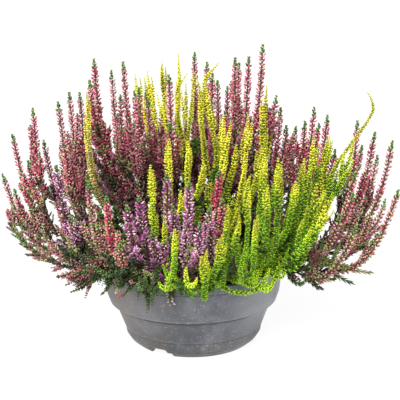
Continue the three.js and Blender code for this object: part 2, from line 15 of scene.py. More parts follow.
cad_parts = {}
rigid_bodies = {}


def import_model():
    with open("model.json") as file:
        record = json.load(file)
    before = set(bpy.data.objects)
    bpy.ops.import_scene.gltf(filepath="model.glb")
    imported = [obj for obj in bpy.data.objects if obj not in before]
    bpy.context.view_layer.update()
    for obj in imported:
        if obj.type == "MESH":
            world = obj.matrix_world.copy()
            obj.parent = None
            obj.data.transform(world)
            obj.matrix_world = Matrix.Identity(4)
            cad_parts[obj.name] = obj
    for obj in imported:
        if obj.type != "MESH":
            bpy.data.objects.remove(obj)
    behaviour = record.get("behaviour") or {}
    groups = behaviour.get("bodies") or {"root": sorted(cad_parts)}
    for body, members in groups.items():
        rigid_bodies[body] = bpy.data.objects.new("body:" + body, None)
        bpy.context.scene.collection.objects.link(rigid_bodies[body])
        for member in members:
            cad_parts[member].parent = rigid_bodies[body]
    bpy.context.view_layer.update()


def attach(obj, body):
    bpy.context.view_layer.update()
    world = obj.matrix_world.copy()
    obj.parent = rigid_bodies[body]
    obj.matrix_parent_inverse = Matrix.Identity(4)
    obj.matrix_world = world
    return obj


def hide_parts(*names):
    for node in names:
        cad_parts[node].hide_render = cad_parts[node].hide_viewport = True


MM = 0.001
UP = np.array([0.0, 0.0, 1.0])

# ---------------------------------------------------------------- driving sizes, as in the CAD source

RIM_RADIUS = 115.0
RIM_TOP = 105.0
FOOT_RADIUS = 73.0
FOOT_INNER_RADIUS = 68.0
FOOT_RECESS = 3.5
FLOOR_TOP = 12.0
NOTCH_ANGLES = (237.0, 57.0)
NOTCH_HEIGHT = 10.5
NOTCH_WIDTH_BELOW = 32.0
NOTCH_WIDTH_ABOVE = 20.0

FIT_GAP = 0.35
SOIL_TOP = 93.0
SOIL_RADIUS = 109.5
SOIL_ROUGHNESS = 2.4
ROOT_DEPTH = 12.0
ROOT_CIRCLE = 80.0
ROOT_SHARE = 0.36
ROOT_SPACING = 15.0
STEEPEST_LEAN = 74.0

STEM_RADIUS = 4.2
MAIN_BARE_SHARE = 0.42
SIDE_BARE_SHARE = 0.2
POINT_STEP = 7.0
FEWEST_STEPS = 8
CURVE_SLACK = 1.12

BOW_LEAN = (4, 24)
SAG_LEAN = (48, 60)
LEAVE_SHARE = (1.25, 2)
ARRIVE_SHARE = (0.2, 0.3)
PULL_SHARE = (0.42, 0.5)
HOLD_SHARE = (0.45, 0.75)
HOLD_DROP = 0.86

SIDE_FORK = (0.3, 0.5)
SIDE_AIM = 2
SIDE_ARRIVE_SHARE = 0.3
SIDE_PULL_SHARE = 0.36
SIDE_HOLD_SHARE = 0.42

LOW_FORK = 3
OUTER_SPRAY = 105.0
LOW_SWING = 0.35
LOW_OUTER_RADIUS = (132, 166)
LOW_OUTER_HEIGHT = (112, 150)
LOW_INNER_REACH = 26
LOW_INNER_HEIGHT = (158, 200)
EXTRA_ASIDE = (14, 24)
EXTRA_DROP = (38, 62)

CROOK_REACH = (20, 34, 120)
CROOKS = ((12, 0, -18), (9, 1, -14), (23, 0, 18))  # spray, shoot, how far towards +X

SPREAD_ROUNDS = 90
SPREAD_GAP = 2.6
SPREAD_PUSH = 0.3
SPREAD_SMOOTHING = (0.35, 0.06)
PAIR_ROUNDS = 10
NEAR = 32.0
ROOT_ROUNDS = 80
HELD_FOOT = 10
STIFF_FOOT = 24
ZONE_LEAD = 4
SOIL_ROOM = 1
RIM_ROOM = 1.5
RIM_SIDE_ROOM = 2.5
INSIDE_RIM = 94
SEED = 18.8


# The length and radius of a look's floret or leaf zone, and the length of its green tip.
Look = namedtuple("Look", "zone radius tip")
LOOKS = {
    "rose": Look(120, 5.6, 13),
    "crimson": Look(70, 6.2, 10),
    "lilac": Look(88, 6.6, 10),
    "lime": Look(110, 5.8, 12),
    "green": Look(60, 4.6, 8),
}

# Each spray: its look, then the tips of its shoots as (x, y, z), the main stem's first.
# A fourth number is the angle from the vertical at which the shoot ends.
SPRAYS = [
    ("rose", (-244, 50, 208), (-222, -10, 204)),
    ("rose", (-230, 60, 258), (-206, 90, 286), (-208, 30, 230)),
    ("rose", (-168, 40, 304), (-158, 90, 306), (-146, 110, 302)),
    ("rose", (-120, 30, 360), (-124, -10, 340)),
    ("lime", (-126, -20, 330, 0)),
    ("rose", (-102, 90, 334), (-90, 70, 306)),
    ("rose", (-84, 40, 354), (-64, 10, 326)),
    ("lime", (-36, 70, 350), (-72, 100, 328), (-56, 110, 330)),
    ("rose", (-54, 50, 304), (-34, 80, 302)),
    ("lime", (-14, 40, 364), (-4, 30, 340), (4, 60, 338)),
    ("rose", (-26, 0, 344)),
    ("rose", (6, 80, 358), (22, 110, 340)),
    ("lime", (36, 0, 358), (12, -10, 328)),
    ("rose", (28, 50, 336)),
    ("rose", (74, 40, 358), (58, 70, 352), (64, 100, 340)),
    ("rose", (90, 10, 378), (106, 0, 316)),
    ("lime", (94, -10, 332)),
    ("rose", (118, 90, 282), (126, 100, 256), (140, 120, 250)),
    ("rose", (158, 50, 290), (148, 70, 268), (168, 90, 260)),
    ("rose", (172, 20, 286), (180, 0, 246)),
    ("lime", (150, -40, 272), (172, -10, 268)),
    ("lime", (68, -70, 306), (84, -90, 272)),
    ("lime", (40, -50, 304)),
    ("lime", (216, -30, 324, 24), (196, -30, 270)),
    ("rose", (228, -10, 270), (210, 20, 278), (222, 64, 236)),
    ("rose", (246, -40, 266), (238, 34, 230)),
    ("rose", (198, -60, 232), (194, -80, 212)),
    ("rose", (248, -85, 216), (236, -60, 198)),
    ("crimson", (-98, -150, 230), (-86, -150, 176)),
    ("rose", (-122, -110, 238), (-112, -120, 188)),
    ("lilac", (-164, -60, 246), (-146, -100, 194)),
    ("lilac", (-62, -150, 230), (-74, -165, 224), (-48, -160, 190)),
    ("lilac", (-28, -100, 244), (-24, -130, 212)),
    ("lilac", (-2, -165, 250), (8, -175, 206)),
    ("lilac", (20, -150, 216)),
    ("lime", (-48, -110, 258)),
    ("lime", (-20, -195, 204)),
    ("lime", (-26, -80, 282), (-14, -110, 226)),
    ("lime", (-4, -60, 274), (14, -100, 260)),
    ("lime", (44, -170, 224), (52, -175, 214)),
    ("lime", (88, -120, 268), (102, -110, 264)),
    ("lime", (104, -130, 258), (88, -150, 242)),
    ("lime", (134, -90, 258), (122, -120, 238)),
    ("lime", (148, -110, 232), (156, -120, 208)),
    ("lime", (66, -170, 240), (74, -185, 216)),
    ("lime", (16, -185, 176), (34, -180, 192)),
    ("crimson", (32, -90, 242), (36, -110, 214)),
    ("rose", (198, -90, 174), (176, -100, 190)),
    ("green", (-158, -60, 92, 110), (-150, -86, 92, 100), (-112, -104, 94, 110)),
    ("green", (204, -62, 108, 100), (162, -74, 100, 120), (186, -84, 118, 80)),
    ("green", (-86, -134, 100, 110), (-50, -146, 100, 110), (-16, -132, 90, 150)),
    ("rose", (-196, 112, 238), (-176, 132, 226), (-212, 92, 222), (-158, 158, 192)),
    ("lilac", (-118, 150, 250), (-98, 165, 262), (-140, 140, 224), (-80, 186, 214)),
    ("rose", (-60, 150, 296), (-40, 170, 268), (-74, 130, 300), (-52, 192, 220)),
    ("lime", (-6, 150, 304), (12, 165, 280), (-20, 180, 246), (8, 196, 204)),
    ("rose", (50, 150, 300), (70, 165, 268), (36, 130, 312), (56, 190, 220)),
    ("lilac", (112, 150, 258), (96, 170, 234), (130, 140, 228), (86, 186, 204)),
    ("lime", (170, 125, 240), (152, 145, 222), (186, 110, 234), (140, 160, 196)),
]

# ---------------------------------------------------------------- camera and light

CAMERA_PLACE = (0.0, -1.719, 0.657)
CAMERA_YAW = 0.34        # degrees towards +X
CAMERA_PITCH = -15.41
CAMERA_ROLL = 0.72
CAMERA_LENS = 127.2
SENSOR_WIDTH = 36.0

FLOOR_REACH = 14.0
FLOOR_GREY = (110, 110, 110)
FLOOR_GLOW = 0.9
WORLD_STRENGTH = 0.46
KEY_FROM = (-0.4, -1.0, 1.1)
KEY_SOFTNESS = 50  # degrees
KEY_STRENGTH = 5.0
WHITE = (1.0, 1.0, 1.0, 1.0)

# ---------------------------------------------------------------- small helpers


def lerp(low, high, share):
    return low + (high - low) * share


def between(pair, share):
    return lerp(*pair, share)


def unit(vectors):
    return vectors / np.maximum(np.linalg.norm(vectors, axis=-1, keepdims=True), 1e-9)


def smoothstep(value, low, high):
    share = min(1.0, max(0.0, (value - low) / (high - low)))
    return share * share * (3 - 2 * share)


def chance(spray, shoot, use):
    """The CAD source's repeatable random number from 0 to 1."""
    wave = math.sin(SEED + 12.9898 * spray + 78.233 * shoot + 37.719 * use) * 43758.5453
    return wave - math.floor(wave)


def distances(points):
    """How far along the line through some points each of them lies."""
    steps = np.linalg.norm(np.diff(points, axis=0), axis=1)
    return np.concatenate([[0.0], np.cumsum(steps)])


# ---------------------------------------------------------------- centre lines of the shoots


class Shoot:
    """One shoot of a spray: its look, the stem it forks from and the points of its line."""

    def __init__(self, spray, look, parent, at, points):
        self.spray, self.look, self.parent, self.at, self.points = spray, look, parent, at, points

    def zone_start(self, length):
        look = LOOKS[self.look]
        bare = MAIN_BARE_SHARE if self.parent is None else SIDE_BARE_SHARE
        return max(length - look.zone - look.tip, bare * length)


def leaning(level, angle):
    return level * math.sin(angle) + UP * math.cos(angle)


def level_direction(start, end):
    level = np.array([end[0] - start[0], end[1] - start[1], 0.0])
    reach = np.linalg.norm(level)
    return level / reach if reach > 1 else np.array([1.0, 0.0, 0.0])


def plant_roots():
    """Roots lie inwards of their tips, inside the root circle, and spread apart on the soil."""
    roots = []
    for _, tip, *_ in SPRAYS:
        out = math.hypot(*tip[:2])
        roots.append(np.array(tip[:2]) / out * min(out * ROOT_SHARE, ROOT_CIRCLE))
    for _ in range(ROOT_ROUNDS):
        for i, a in enumerate(roots):
            for b in roots[:i]:
                gap = a - b
                apart = math.hypot(*gap)
                if apart < ROOT_SPACING:
                    push = gap * ((ROOT_SPACING - apart) / 2 / apart)
                    a += push
                    b -= push
        for root in roots:
            root *= min(1, ROOT_CIRCLE / math.hypot(*root))
    return roots


def curve_points(start, pull, hold, tip):
    """Points along a cubic curve, about POINT_STEP apart."""
    reach = np.linalg.norm(tip - start)
    count = max(FEWEST_STEPS, math.floor(reach * CURVE_SLACK / POINT_STEP + 0.5))
    t = (np.arange(count + 1) / count)[:, None]
    return (1 - t) ** 3 * start + 3 * (1 - t) ** 2 * t * pull + 3 * (1 - t) * t**2 * hold + t**3 * tip


def main_line(root, tip, droop):
    """The main stem leaves the soil leaning outwards, passes over the rim and turns up."""
    start = np.array([*root, SOIL_TOP + 2])
    level = level_direction(start, tip)
    reach = np.linalg.norm(tip - start)
    lean = math.acos(max(-1.0, min(1.0, (tip[2] - start[2]) / reach)))
    bow, sag = (smoothstep(math.degrees(lean), *pair) for pair in (BOW_LEAN, SAG_LEAN))
    leave = min(between(LEAVE_SHARE, bow) * lean, math.radians(STEEPEST_LEAN))
    arrive = between(ARRIVE_SHARE, sag) * lean if droop is None else droop
    drop = min(between(HOLD_SHARE, bow) * reach, lerp(HOLD_DROP * (tip[2] - start[2]), reach, sag))
    pull = start + leaning(level, leave) * between(PULL_SHARE, bow) * reach
    hold = tip - leaning(level, arrive) * drop
    return curve_points(start, pull, hold, tip)


def side_line(main, at, tip, droop=None):
    """A side shoot forks from a point of the main stem and swings round to its own tip."""
    start = main[at]
    along = unit(main[at + 1] - main[at - 1])
    reach = np.linalg.norm(tip - start)
    aim = unit(tip - start)
    level = level_direction((0, 0), tip)
    arrive = SIDE_ARRIVE_SHARE * math.acos(aim[2]) if droop is None else droop
    leave = unit(along + SIDE_AIM * aim)
    pull = start + leave * SIDE_PULL_SHARE * reach
    hold = tip - leaning(level, arrive) * SIDE_HOLD_SHARE * reach
    return curve_points(start, pull, hold, tip)


def low_tip(root, tip, spray):
    """Every spray has a low leafy shoot, which fills the plant's foot or hangs at the rim."""
    angle = math.atan2(tip[1], tip[0]) + lerp(-LOW_SWING, LOW_SWING, chance(spray, 8, 1))
    radius = math.hypot(*root) + LOW_INNER_REACH
    height = between(LOW_INNER_HEIGHT, chance(spray, 8, 3))
    if math.hypot(*tip[:2]) > OUTER_SPRAY:
        radius = between(LOW_OUTER_RADIUS, chance(spray, 8, 2))
        height = between(LOW_OUTER_HEIGHT, chance(spray, 8, 3))
    return np.array([radius * math.cos(angle), radius * math.sin(angle), height])


def extra_tip(tip, spray):
    """A spray with a single tip gets one side shoot of its own, lower and to one side."""
    side = -1 if chance(spray, 9, 1) < 0.5 else 1
    out = math.hypot(*tip[:2]) + 1
    aside = side * between(EXTRA_ASIDE, chance(spray, 9, 2))
    drop = between(EXTRA_DROP, chance(spray, 9, 3))
    return (tip[0] - tip[1] / out * aside, tip[1] + tip[0] / out * aside, tip[2] - drop)


def lay_out_shoots():
    roots = plant_roots()
    shoots = []
    for spray, (look, *tips) in enumerate(SPRAYS):
        if len(tips) == 1:
            tips.append(extra_tip(tips[0], spray))
        ends = [np.array(tip[:3], float) for tip in tips]
        droops = [math.radians(tip[3]) if len(tip) > 3 else None for tip in tips]
        main = Shoot(spray, look, None, 0, main_line(roots[spray], ends[0], droops[0]))
        shoots.append(main)
        for index in range(1, len(tips)):
            share = between(SIDE_FORK, chance(spray, index, 0))
            at = max(2, math.floor(share * (len(main.points) - 1) + 0.5))
            line = side_line(main.points, at, ends[index], droops[index])
            shoots.append(Shoot(spray, look, main, at, line))
        low = low_tip(roots[spray], ends[0], spray)
        shoots.append(Shoot(spray, look, main, LOW_FORK, side_line(main.points, LOW_FORK, low)))
    return shoots


def near_pairs(places, shoot_of, spray_of, in_zone):
    """Pairs of points of different shoots that are watched for coming too close."""
    found = []
    square = (places**2).sum(1)
    for first in range(0, len(places), 500):
        rows = slice(first, first + 500)
        apart = square[rows, None] + square - 2 * places[rows] @ places.T
        a, b = np.nonzero(apart < NEAR * NEAR)
        a += first
        keep = (b < a) & (shoot_of[a] != shoot_of[b])
        keep &= (spray_of[a] != spray_of[b]) | (in_zone[a] & in_zone[b])
        found.append(np.stack([a[keep], b[keep]]))
    return np.concatenate(found, axis=1)


def clear_heights(places, radii):
    """The lowest heights at which points of some radius clear the soil and the rim."""
    out = np.hypot(places[:, 0], places[:, 1])
    over_rim = np.where(out < RIM_RADIUS + radii + RIM_SIDE_ROOM, RIM_TOP + radii + RIM_ROOM, 0.0)
    return np.where(out < INSIDE_RIM, SOIL_TOP + radii + SOIL_ROOM, over_rim)


def spread_shoots(shoots):
    """Bends shoots of different sprays that come too close apart, as the CAD source does."""
    runs = [distances(shoot.points) for shoot in shoots]
    counts = [len(run) for run in runs]
    edges = np.cumsum([0] + counts)
    for shoot, *ends in zip(shoots, edges, edges[1:]):
        shoot.span = slice(*ends)

    def of_points(values):
        return np.repeat(values, counts)

    run = np.concatenate(runs)
    home = np.concatenate([shoot.points for shoot in shoots])
    shoot_of = of_points(np.arange(len(shoots)))
    spray_of = of_points([shoot.spray for shoot in shoots])
    is_main = of_points([shoot.parent is None for shoot in shoots])
    starts = of_points([shoot.zone_start(run[-1]) for shoot, run in zip(shoots, runs)])
    in_zone = run >= starts - ZONE_LEAD
    zone_radius = of_points([LOOKS[shoot.look].radius for shoot in shoots])
    radius = np.where(in_zone, zone_radius, STEM_RADIUS)
    freedom = np.where(is_main, np.minimum(1, run / STIFF_FOOT), 1)[:, None]
    held = is_main & (run < HELD_FOOT)
    place, shift = home.copy(), np.zeros_like(home)
    for turn in range(SPREAD_ROUNDS):
        if turn % PAIR_ROUNDS == 0:
            a, b = near_pairs(place, shoot_of, spray_of, in_zone)
            wanted = radius[a] + radius[b] + SPREAD_GAP
        gap = place[a] - place[b]
        apart = np.maximum(np.linalg.norm(gap, axis=1), 1e-6)
        gap *= (SPREAD_PUSH * np.maximum(wanted - apart, 0) / apart)[:, None]
        push = np.zeros_like(home)
        np.add.at(push, a, gap)
        np.subtract.at(push, b, gap)
        shift += push * freedom
        smoothing = between(SPREAD_SMOOTHING, turn / SPREAD_ROUNDS)
        for shoot in shoots:
            own = shift[shoot.span]
            before = own.copy()
            middle = (before[:-1] + np.concatenate([before[2:], before[-1:]])) / 2
            own[1:] += (middle - own[1:]) * smoothing
            if shoot.parent is not None:
                own[0] = shift[shoot.parent.span.start + shoot.at]
            here = home[shoot.span] + own
            lift = clear_heights(here, radius[shoot.span]) - here[:, 2]
            lift = np.where(held[shoot.span], 0, np.maximum(lift, 0))
            own[:, 2] += lift
            here[:, 2] += lift
            place[shoot.span] = here
    for shoot in shoots:
        shoot.points = place[shoot.span]


def crook_shoots(shoots):
    """Bends the crooked shoots, which stand aside below their tips, as the CAD source does."""
    full, back, end = CROOK_REACH
    for spray, index, aside in CROOKS:
        shoot = [shoot for shoot in shoots if shoot.spray == spray][index]
        runs = distances(shoot.points)
        for point, left in zip(shoot.points, runs[-1] - runs):
            point[0] += aside * min(1, left / full) * (1 - smoothstep(left, back, end))


# ---------------------------------------------------------------- lines, templates and heaps


class Line:
    """A smooth line through points, read by distance along it."""

    def __init__(self, points):
        ahead = np.concatenate([points[1:], points[-1:]])
        behind = np.concatenate([points[:1], points[:-1]])
        slope = (ahead - behind) / 2
        pairs = (points[:-1], points[1:], slope[:-1], slope[1:])
        a, b, s, t = (ends[:, None] for ends in pairs)
        k = np.array([[0.0], [0.25], [0.5], [0.75]])  # a cubic through each pair of points
        fine = (2 * k**3 - 3 * k**2 + 1) * a + (k**3 - 2 * k**2 + k) * s
        fine = fine + (3 * k**2 - 2 * k**3) * b + (k**3 - k**2) * t
        self.points = np.concatenate([fine.reshape(-1, 3), points[-1:]])
        self.run = distances(self.points)
        self.length = self.run[-1]
        self.slopes = unit(np.gradient(self.points, self.run, axis=0))
        chord = self.points[-1] - self.points[0]
        side = np.cross(chord, UP)
        self.side = unit(side if np.linalg.norm(side) > 1e-3 else np.array([1.0, 0.0, 0.0]))

    def at(self, distance):
        """Places, directions along the line and the two directions across it."""
        place = np.stack([np.interp(distance, self.run, x) for x in self.points.T], -1)
        along = unit(np.stack([np.interp(distance, self.run, x) for x in self.slopes.T], -1))
        across = unit(self.side - along * (along @ self.side)[..., None])
        return place, along, across, np.cross(along, across)


# A small shape of length 1 and width 1, which is copied many times. Its points are (across,
# bend, along). A hue of 0 is the colour of its base and 1 that of its tip, and a shade is how
# much lighter or darker a point is than the whole.
Template = namedtuple("Template", "points faces hues shades")

# Painted shade makes the plant darker towards its heart, where its own leaves shade it: its place,
# the reach of the plant round it, the share of that reach which is darkest and the share over
# which the light comes back.
HEART = np.array([0.0, 0.0, 95.0])
HEART_REACH = np.array([240.0, 145.0, 250.0])
DARKEST_SHARE = 0.42
LIGHTER_OVER = 0.44
DEPTH_SHADE = 0.36
LIME_DEPTH_SHADE = 0.2


def deep_share(points):
    """How deep inside the plant points lie: 0 near its outside and 1 at its heart."""
    reach = np.linalg.norm((points - HEART) / HEART_REACH, axis=1)
    share = np.clip((reach - DARKEST_SHARE) / LIGHTER_OVER, 0, 1)
    return 1 - share * share * (3 - 2 * share)


def smooth_mesh(name, points, faces):
    mesh = bpy.data.meshes.new(name)
    mesh.from_pydata(points * MM, [], faces)
    mesh.shade_smooth()
    return mesh


class Heap:
    """Collects the points, triangles and palette places of one piece."""

    def __init__(self):
        self.points, self.faces, self.hues, self.shades, self.count = [], [], [], [], 0

    def add(self, points, faces, hues, shades):
        self.points.append(points)
        self.faces.append(faces + self.count)
        self.hues.append(hues)
        self.shades.append(shades)
        self.count += len(points)

    def add_copies(self, template, place, axes, length, width, base_hue, tip_hue, shade):
        """Adds a copy of the template at each place. The rows of axes are across, bend, along."""
        copies, size = len(place), len(template.points)
        settings = (length, width, base_hue, tip_hue, shade)
        length, width, base_hue, tip_hue, shade = (np.broadcast_to(x, copies) for x in settings)
        scale = np.stack([width, width, length], 1)
        points = place[:, None] + (template.points * scale[:, None]) @ axes
        hues = lerp(base_hue[:, None], tip_hue[:, None], template.hues)
        shades = shade[:, None] + template.shades
        faces = template.faces + (np.arange(copies) * size)[:, None, None]
        self.add(points.reshape(-1, 3), faces.reshape(-1, 3), hues.ravel(), shades.ravel())

    def template(self):
        return Template(*map(np.concatenate, (self.points, self.faces, self.hues, self.shades)))

    def mesh(self, name, depth_shade):
        """The heap as a mesh, with painted shade deep inside the plant. Its map holds each hue and
        shade.
        """
        points, faces, hues, shades = self.template()
        shades = shades - depth_shade * deep_share(points)
        mesh = smooth_mesh(name, points, faces)
        tints = np.stack([hues, shades], 1).clip(0.005, 0.995)[faces.ravel()]
        mesh.uv_layers.new(name="OFBake").data.foreach_set("uv", tints.ravel())
        return mesh


def spindle(rings, sides, bend=0.0, contrast=0.05):
    """A closed pointed shape about Z, with painted shade at its foot and painted light at its tip. Each
    ring is (radius, height).
    """
    points, shades = [(0.0, 0.0, 0.0)], [0.0]
    for radius, height in rings:
        for k in range(sides):
            angle = 2 * math.pi * (k + 0.5) / sides
            points.append((radius * math.cos(angle), radius * math.sin(angle), height))
            shades.append(contrast * (1 if k % 2 else -1))
    points.append((0.0, 0.0, 1.0))
    shades.append(contrast)
    faces = []
    for k in range(sides):
        after = (k + 1) % sides
        faces.append((0, 1 + after, 1 + k))
        for ring in range(len(rings) - 1):
            a, b = 1 + ring * sides + k, 1 + ring * sides + after
            faces += [(a, b, b + sides), (a, b + sides, a + sides)]
        last = 1 + (len(rings) - 1) * sides
        faces.append((last + k, last + after, len(points) - 1))
    points = np.array(points)
    hues = points[:, 2].copy()
    points[:, 1] += bend * points[:, 2] ** 2
    return Template(points, np.array(faces), hues, np.array(shades) + lerp(-0.22, 0.08, hues))


def aimed(line, distance, turn, tilt, inset=0.0):
    """Places on a line and the axes of what leaves it there, turned round it and tilted out."""
    place, along, across, cross = line.at(distance)
    out = across * np.cos(turn)[:, None] + cross * np.sin(turn)[:, None]
    ahead = along * np.cos(tilt)[:, None] + out * np.sin(tilt)[:, None]
    aside = np.cross(along, out)
    return place + out * inset, np.stack([aside, np.cross(ahead, aside), ahead], 1)


def clad(template, pairs, length, width, tilt):
    """A straight twig of length 1, set with opposite pairs of a small shape and closed by one."""
    heap = Heap()
    upright = np.eye(3)[None]
    if pairs > 1:
        heap.add_copies(TWIG_AXIS, np.zeros((1, 3)), upright, 0.95, 0.08, 0, 0.6, -0.1)
    share = (np.arange(pairs) + 0.6) / (pairs + 0.4)
    share = np.repeat(share * (1 - 0.6 * length), 2)
    turn = np.arange(2 * pairs) * math.pi + np.repeat(np.arange(pairs) * math.pi / 2, 2)
    axis = Line(np.linspace((0, 0, 0), (0, 0, 1), 5))
    place, axes = aimed(axis, share, turn, tilt * lerp(1, 0.7, share))
    fade = lerp(1, 0.75, share)
    heap.add_copies(template, place, axes, length * fade, width * fade,
                    share * 0.8, share * 0.8 + 0.2, 0)
    tip = np.array([[0, 0, 1 - length * 0.7]])
    heap.add_copies(template, tip, upright, length * 0.7, width, 0.8, 1, 0)
    return heap.template()


def scale_leaf():
    """A broad-footed, keeled little leaf with four faces, with painted shade at its foot and painted
    light at its tip.
    """
    points = np.array([(-0.5, 0.15, 0.12), (0.5, 0.15, 0.12), (0.0, -0.3, 0.0), (0.0, 0.05, 1.0)])
    faces = np.array([(0, 1, 2), (0, 3, 1), (1, 3, 2), (2, 3, 0)])
    return Template(points, faces, np.array([0.1, 0.15, 0.0, 1.0]), np.array([-0.12, -0.16, -0.2, 0.1]))


TWIG_AXIS = spindle([(0.5, 0.3)], 3)
LEAF = scale_leaf()
PLAIN_BUD = spindle([(0.5, 0.62)], 4, bend=0.1)
SMALL_BUD = spindle([(0.55, 0.6)], 3, bend=0.1)
FLORET = spindle([(0.5, 0.66)], 4, bend=0.1, contrast=0.12)
KNOB = clad(LEAF, 1, 0.76, 0.5, math.radians(48))
# Painted shade, deepened at each knob's foot, and painted light at its tip.
KNOB = KNOB._replace(shades=KNOB.shades + lerp(-0.28, 0.2, KNOB.points[:, 2]))
SHORT_SPRIG = clad(LEAF, 3, 0.46, 0.28, math.radians(36))
DARK_TWIG = clad(LEAF, 4, 0.34, 0.17, math.radians(42))
SPIKELET = clad(LEAF, 5, 0.34, 0.24, math.radians(52))

# ---------------------------------------------------------------- dressing the shoots

# How single sprays differ from the rest of their look, by spray number.
# Thick sprays: how many more side spikes each shoot has.
MORE_SPIKES = {3: 5, 5: 2, 6: 3, 8: 2, 11: 3, 13: 3, 17: 2, 29: 7}
# Sparse sprays: how many side spikes the main stem has, and each side shoot.
FEW_SPIKES = {
    0: (3, 3), 1: (4, 3), 24: (3, 0), 25: (3, 1), 26: (0, 0), 27: (3, 2), 47: (1, 0), 51: (2, 1),
}
# Lime sprays that have fewer side cords than the rest, or more.
FULLNESS = {
    4: 0.6, 7: 0.9, 9: 0.6, 12: 0.9, 21: 0.8, 23: 0.55, 35: 0.6, 36: 0.75, 37: 0.75, 38: 0.85,
    39: 0.7, 40: 0.75, 41: 0.7, 42: 0.8, 43: 1.7, 44: 0.55,
}
LEAFY_FOOTED = (9, 12, 21, 23, 39, 40, 41, 42, 44)  # slim, but with cords low down too
DUSTY_LIME = 4  # pale and brownish
LEANING_LIME = 23  # has its side cords low down, and spread wide
THIN_GREEN = 49  # coloured like the low lime shoots, with few side cords

# Places of the colours in COMMON along a look's palette. They are also the first coordinate of
# a point's place on its piece's map, and its shade is the second.
HUES = np.linspace(0.05, 0.95, 9)
WOOD, SHADE_LEAF, LEAF_GREEN, NEW_LEAF, STRAW, PALE, MAUVE, _, DEEP = HUES

# The base and tip hues of leafy cords, each as (low on the cord, at its fresh end).
LIME_GREENS = ((LEAF_GREEN - 0.03, STRAW - 0.06), (NEW_LEAF, PALE))
LOW_LIME_GREENS = ((LEAF_GREEN, NEW_LEAF), (NEW_LEAF + 0.02, NEW_LEAF + 0.05))
DUSTY_GREENS = ((PALE + 0.06, NEW_LEAF), (PALE + 0.08, PALE))
DUSKY_GREENS = ((SHADE_LEAF + 0.03, LEAF_GREEN + 0.02), (LEAF_GREEN, NEW_LEAF + 0.02))

FOOT = 6  # where a stem's lowest leaves stand
SPRIG_LEAVES = (6, 9.5)
SHADED_TWIG = (20, 36)
FADED_TWIG = (16, 26)
BUD_TWIG = (10, 17)
LOW_BUD_TWIG = (11, 19)
SIDE_SPIKE = (28, 56)
SIDE_CORD = (28, 58)
LOW_CORD = (16, 34)
MAIN_KNOB = 5.6
SIDE_KNOB = (4.4, 5.4)
LOW_FRESH = 45  # how far the fresh colour reaches down a low cord
INNER_LIME = 125  # a lime tip nearer than this to the plant's axis is fresher
STEM_SIDES = 4
STEM_STEP = 5.5


def over(line, values):
    """Distances and values. They are given as pairs, or as the values at the line's two ends."""
    return zip(*values) if len(values) > 2 else ((0, line.length), values)


def add_stem(heap, line, radii, hues, shade, rng):
    """A lumpy stem."""
    sides = STEM_SIDES
    count = max(3, round(line.length / STEM_STEP))
    distance = np.linspace(0, 1, count) * line.length
    place, _, across, cross = line.at(distance)
    radius = np.interp(distance, *over(line, radii)) * rng.uniform(0.85, 1.15, count)
    turn = np.arange(sides) * 2 * math.pi / sides
    ring = across[:, None] * np.cos(turn)[:, None] + cross[:, None] * np.sin(turn)[:, None]
    points = (place[:, None] + ring * radius[:, None, None]).reshape(-1, 3)
    faces = []
    for k in range(sides):
        after = (k + 1) % sides
        rows = np.arange(count - 1) * sides
        faces.append(np.stack([rows + k, rows + after, rows + after + sides], 1))
        faces.append(np.stack([rows + k, rows + after + sides, rows + k + sides], 1))
        last = (count - 1) * sides
        faces.append([[count * sides, after, k], [last + k, last + after, count * sides + 1]])
    hue = np.interp(distance, *over(line, hues))
    hue = np.concatenate([np.repeat(hue, sides), hue[:1], hue[-1:]])
    hue = hue + rng.uniform(-0.03, 0.05, len(hue))
    shades = shade + rng.uniform(-0.15, 0.15, len(hue))
    heap.add(np.concatenate([points, place[:1], place[-1:]]), np.concatenate(faces), hue, shades)


def whorls(start, end, spacing, size, rng, slack=0.16):
    """Distances, turns and shares along a zone for elements that stand in whorls."""
    count = max(2, round((end - start) / spacing))
    share = np.repeat((np.arange(count) + 0.5) / count, size)
    step = (end - start) / count
    distance = lerp(start, end, share) + rng.uniform(-slack, slack, len(share)) * step
    quarter = np.repeat(np.arange(count), size) * (math.pi / size + 0.12)
    turn = quarter + np.tile(np.arange(size), count) * 2 * math.pi / size
    return distance, turn + rng.uniform(-0.3, 0.3, len(share)), share


def add_set(heap, template, line, distance, turn, tilt, length, width, hues, shade, rng, inset=0.5):
    """Sets copies of a template round a line with small differences between them."""
    count = len(distance)
    if not count:
        return
    tilt = tilt + rng.normal(0, 0.1, count)
    place, axes = aimed(line, distance, turn, tilt, inset)
    size = rng.uniform(0.85, 1.15, count)
    base, tip = (np.broadcast_to(hue, count) + rng.normal(0, 0.012, count) for hue in hues)
    shade = np.broadcast_to(shade, count) + rng.normal(0, 0.09, count)
    heap.add_copies(template, place, axes, length * size, width * size, base, tip, shade)


def add_twigs(heap, template, line, zone, lengths, hues, tilt, shade, rng, size=1.0, top=1.0, width=1.0):
    """Loose twigs along a zone of (start, end, spacing). The top is the last one's length share."""
    distance, turn, share = whorls(*zone, 1, rng, 0.4)
    length = rng.uniform(*lengths, len(share)) * size * lerp(1, top, share)
    hues = hues(share)
    turn = turn + rng.uniform(0, 6, len(share))
    add_set(heap, template, line, distance, turn, tilt, length, length * width, hues, shade, rng)


def faded_hues(count, rng, leafy=False):
    dusty = (WOOD, SHADE_LEAF, LEAF_GREEN, STRAW - 0.08, MAUVE)
    rosy = (WOOD, STRAW - 0.08, PALE + 0.05, MAUVE, MAUVE + 0.04)
    return rng.choice(dusty if leafy else rosy, count)


def faded_twigs(heap, template, line, zone, size, rng, leafy=False):
    """Side twigs with last season's flowers, brown and dusky pink, low on a flowering shoot."""

    def hues(share):
        tip = faded_hues(len(share), rng, leafy)
        return tip + 0.05, tip

    add_twigs(heap, template, line, zone, FADED_TWIG, hues, 0.5, 0.44, rng, size, width=0.85)


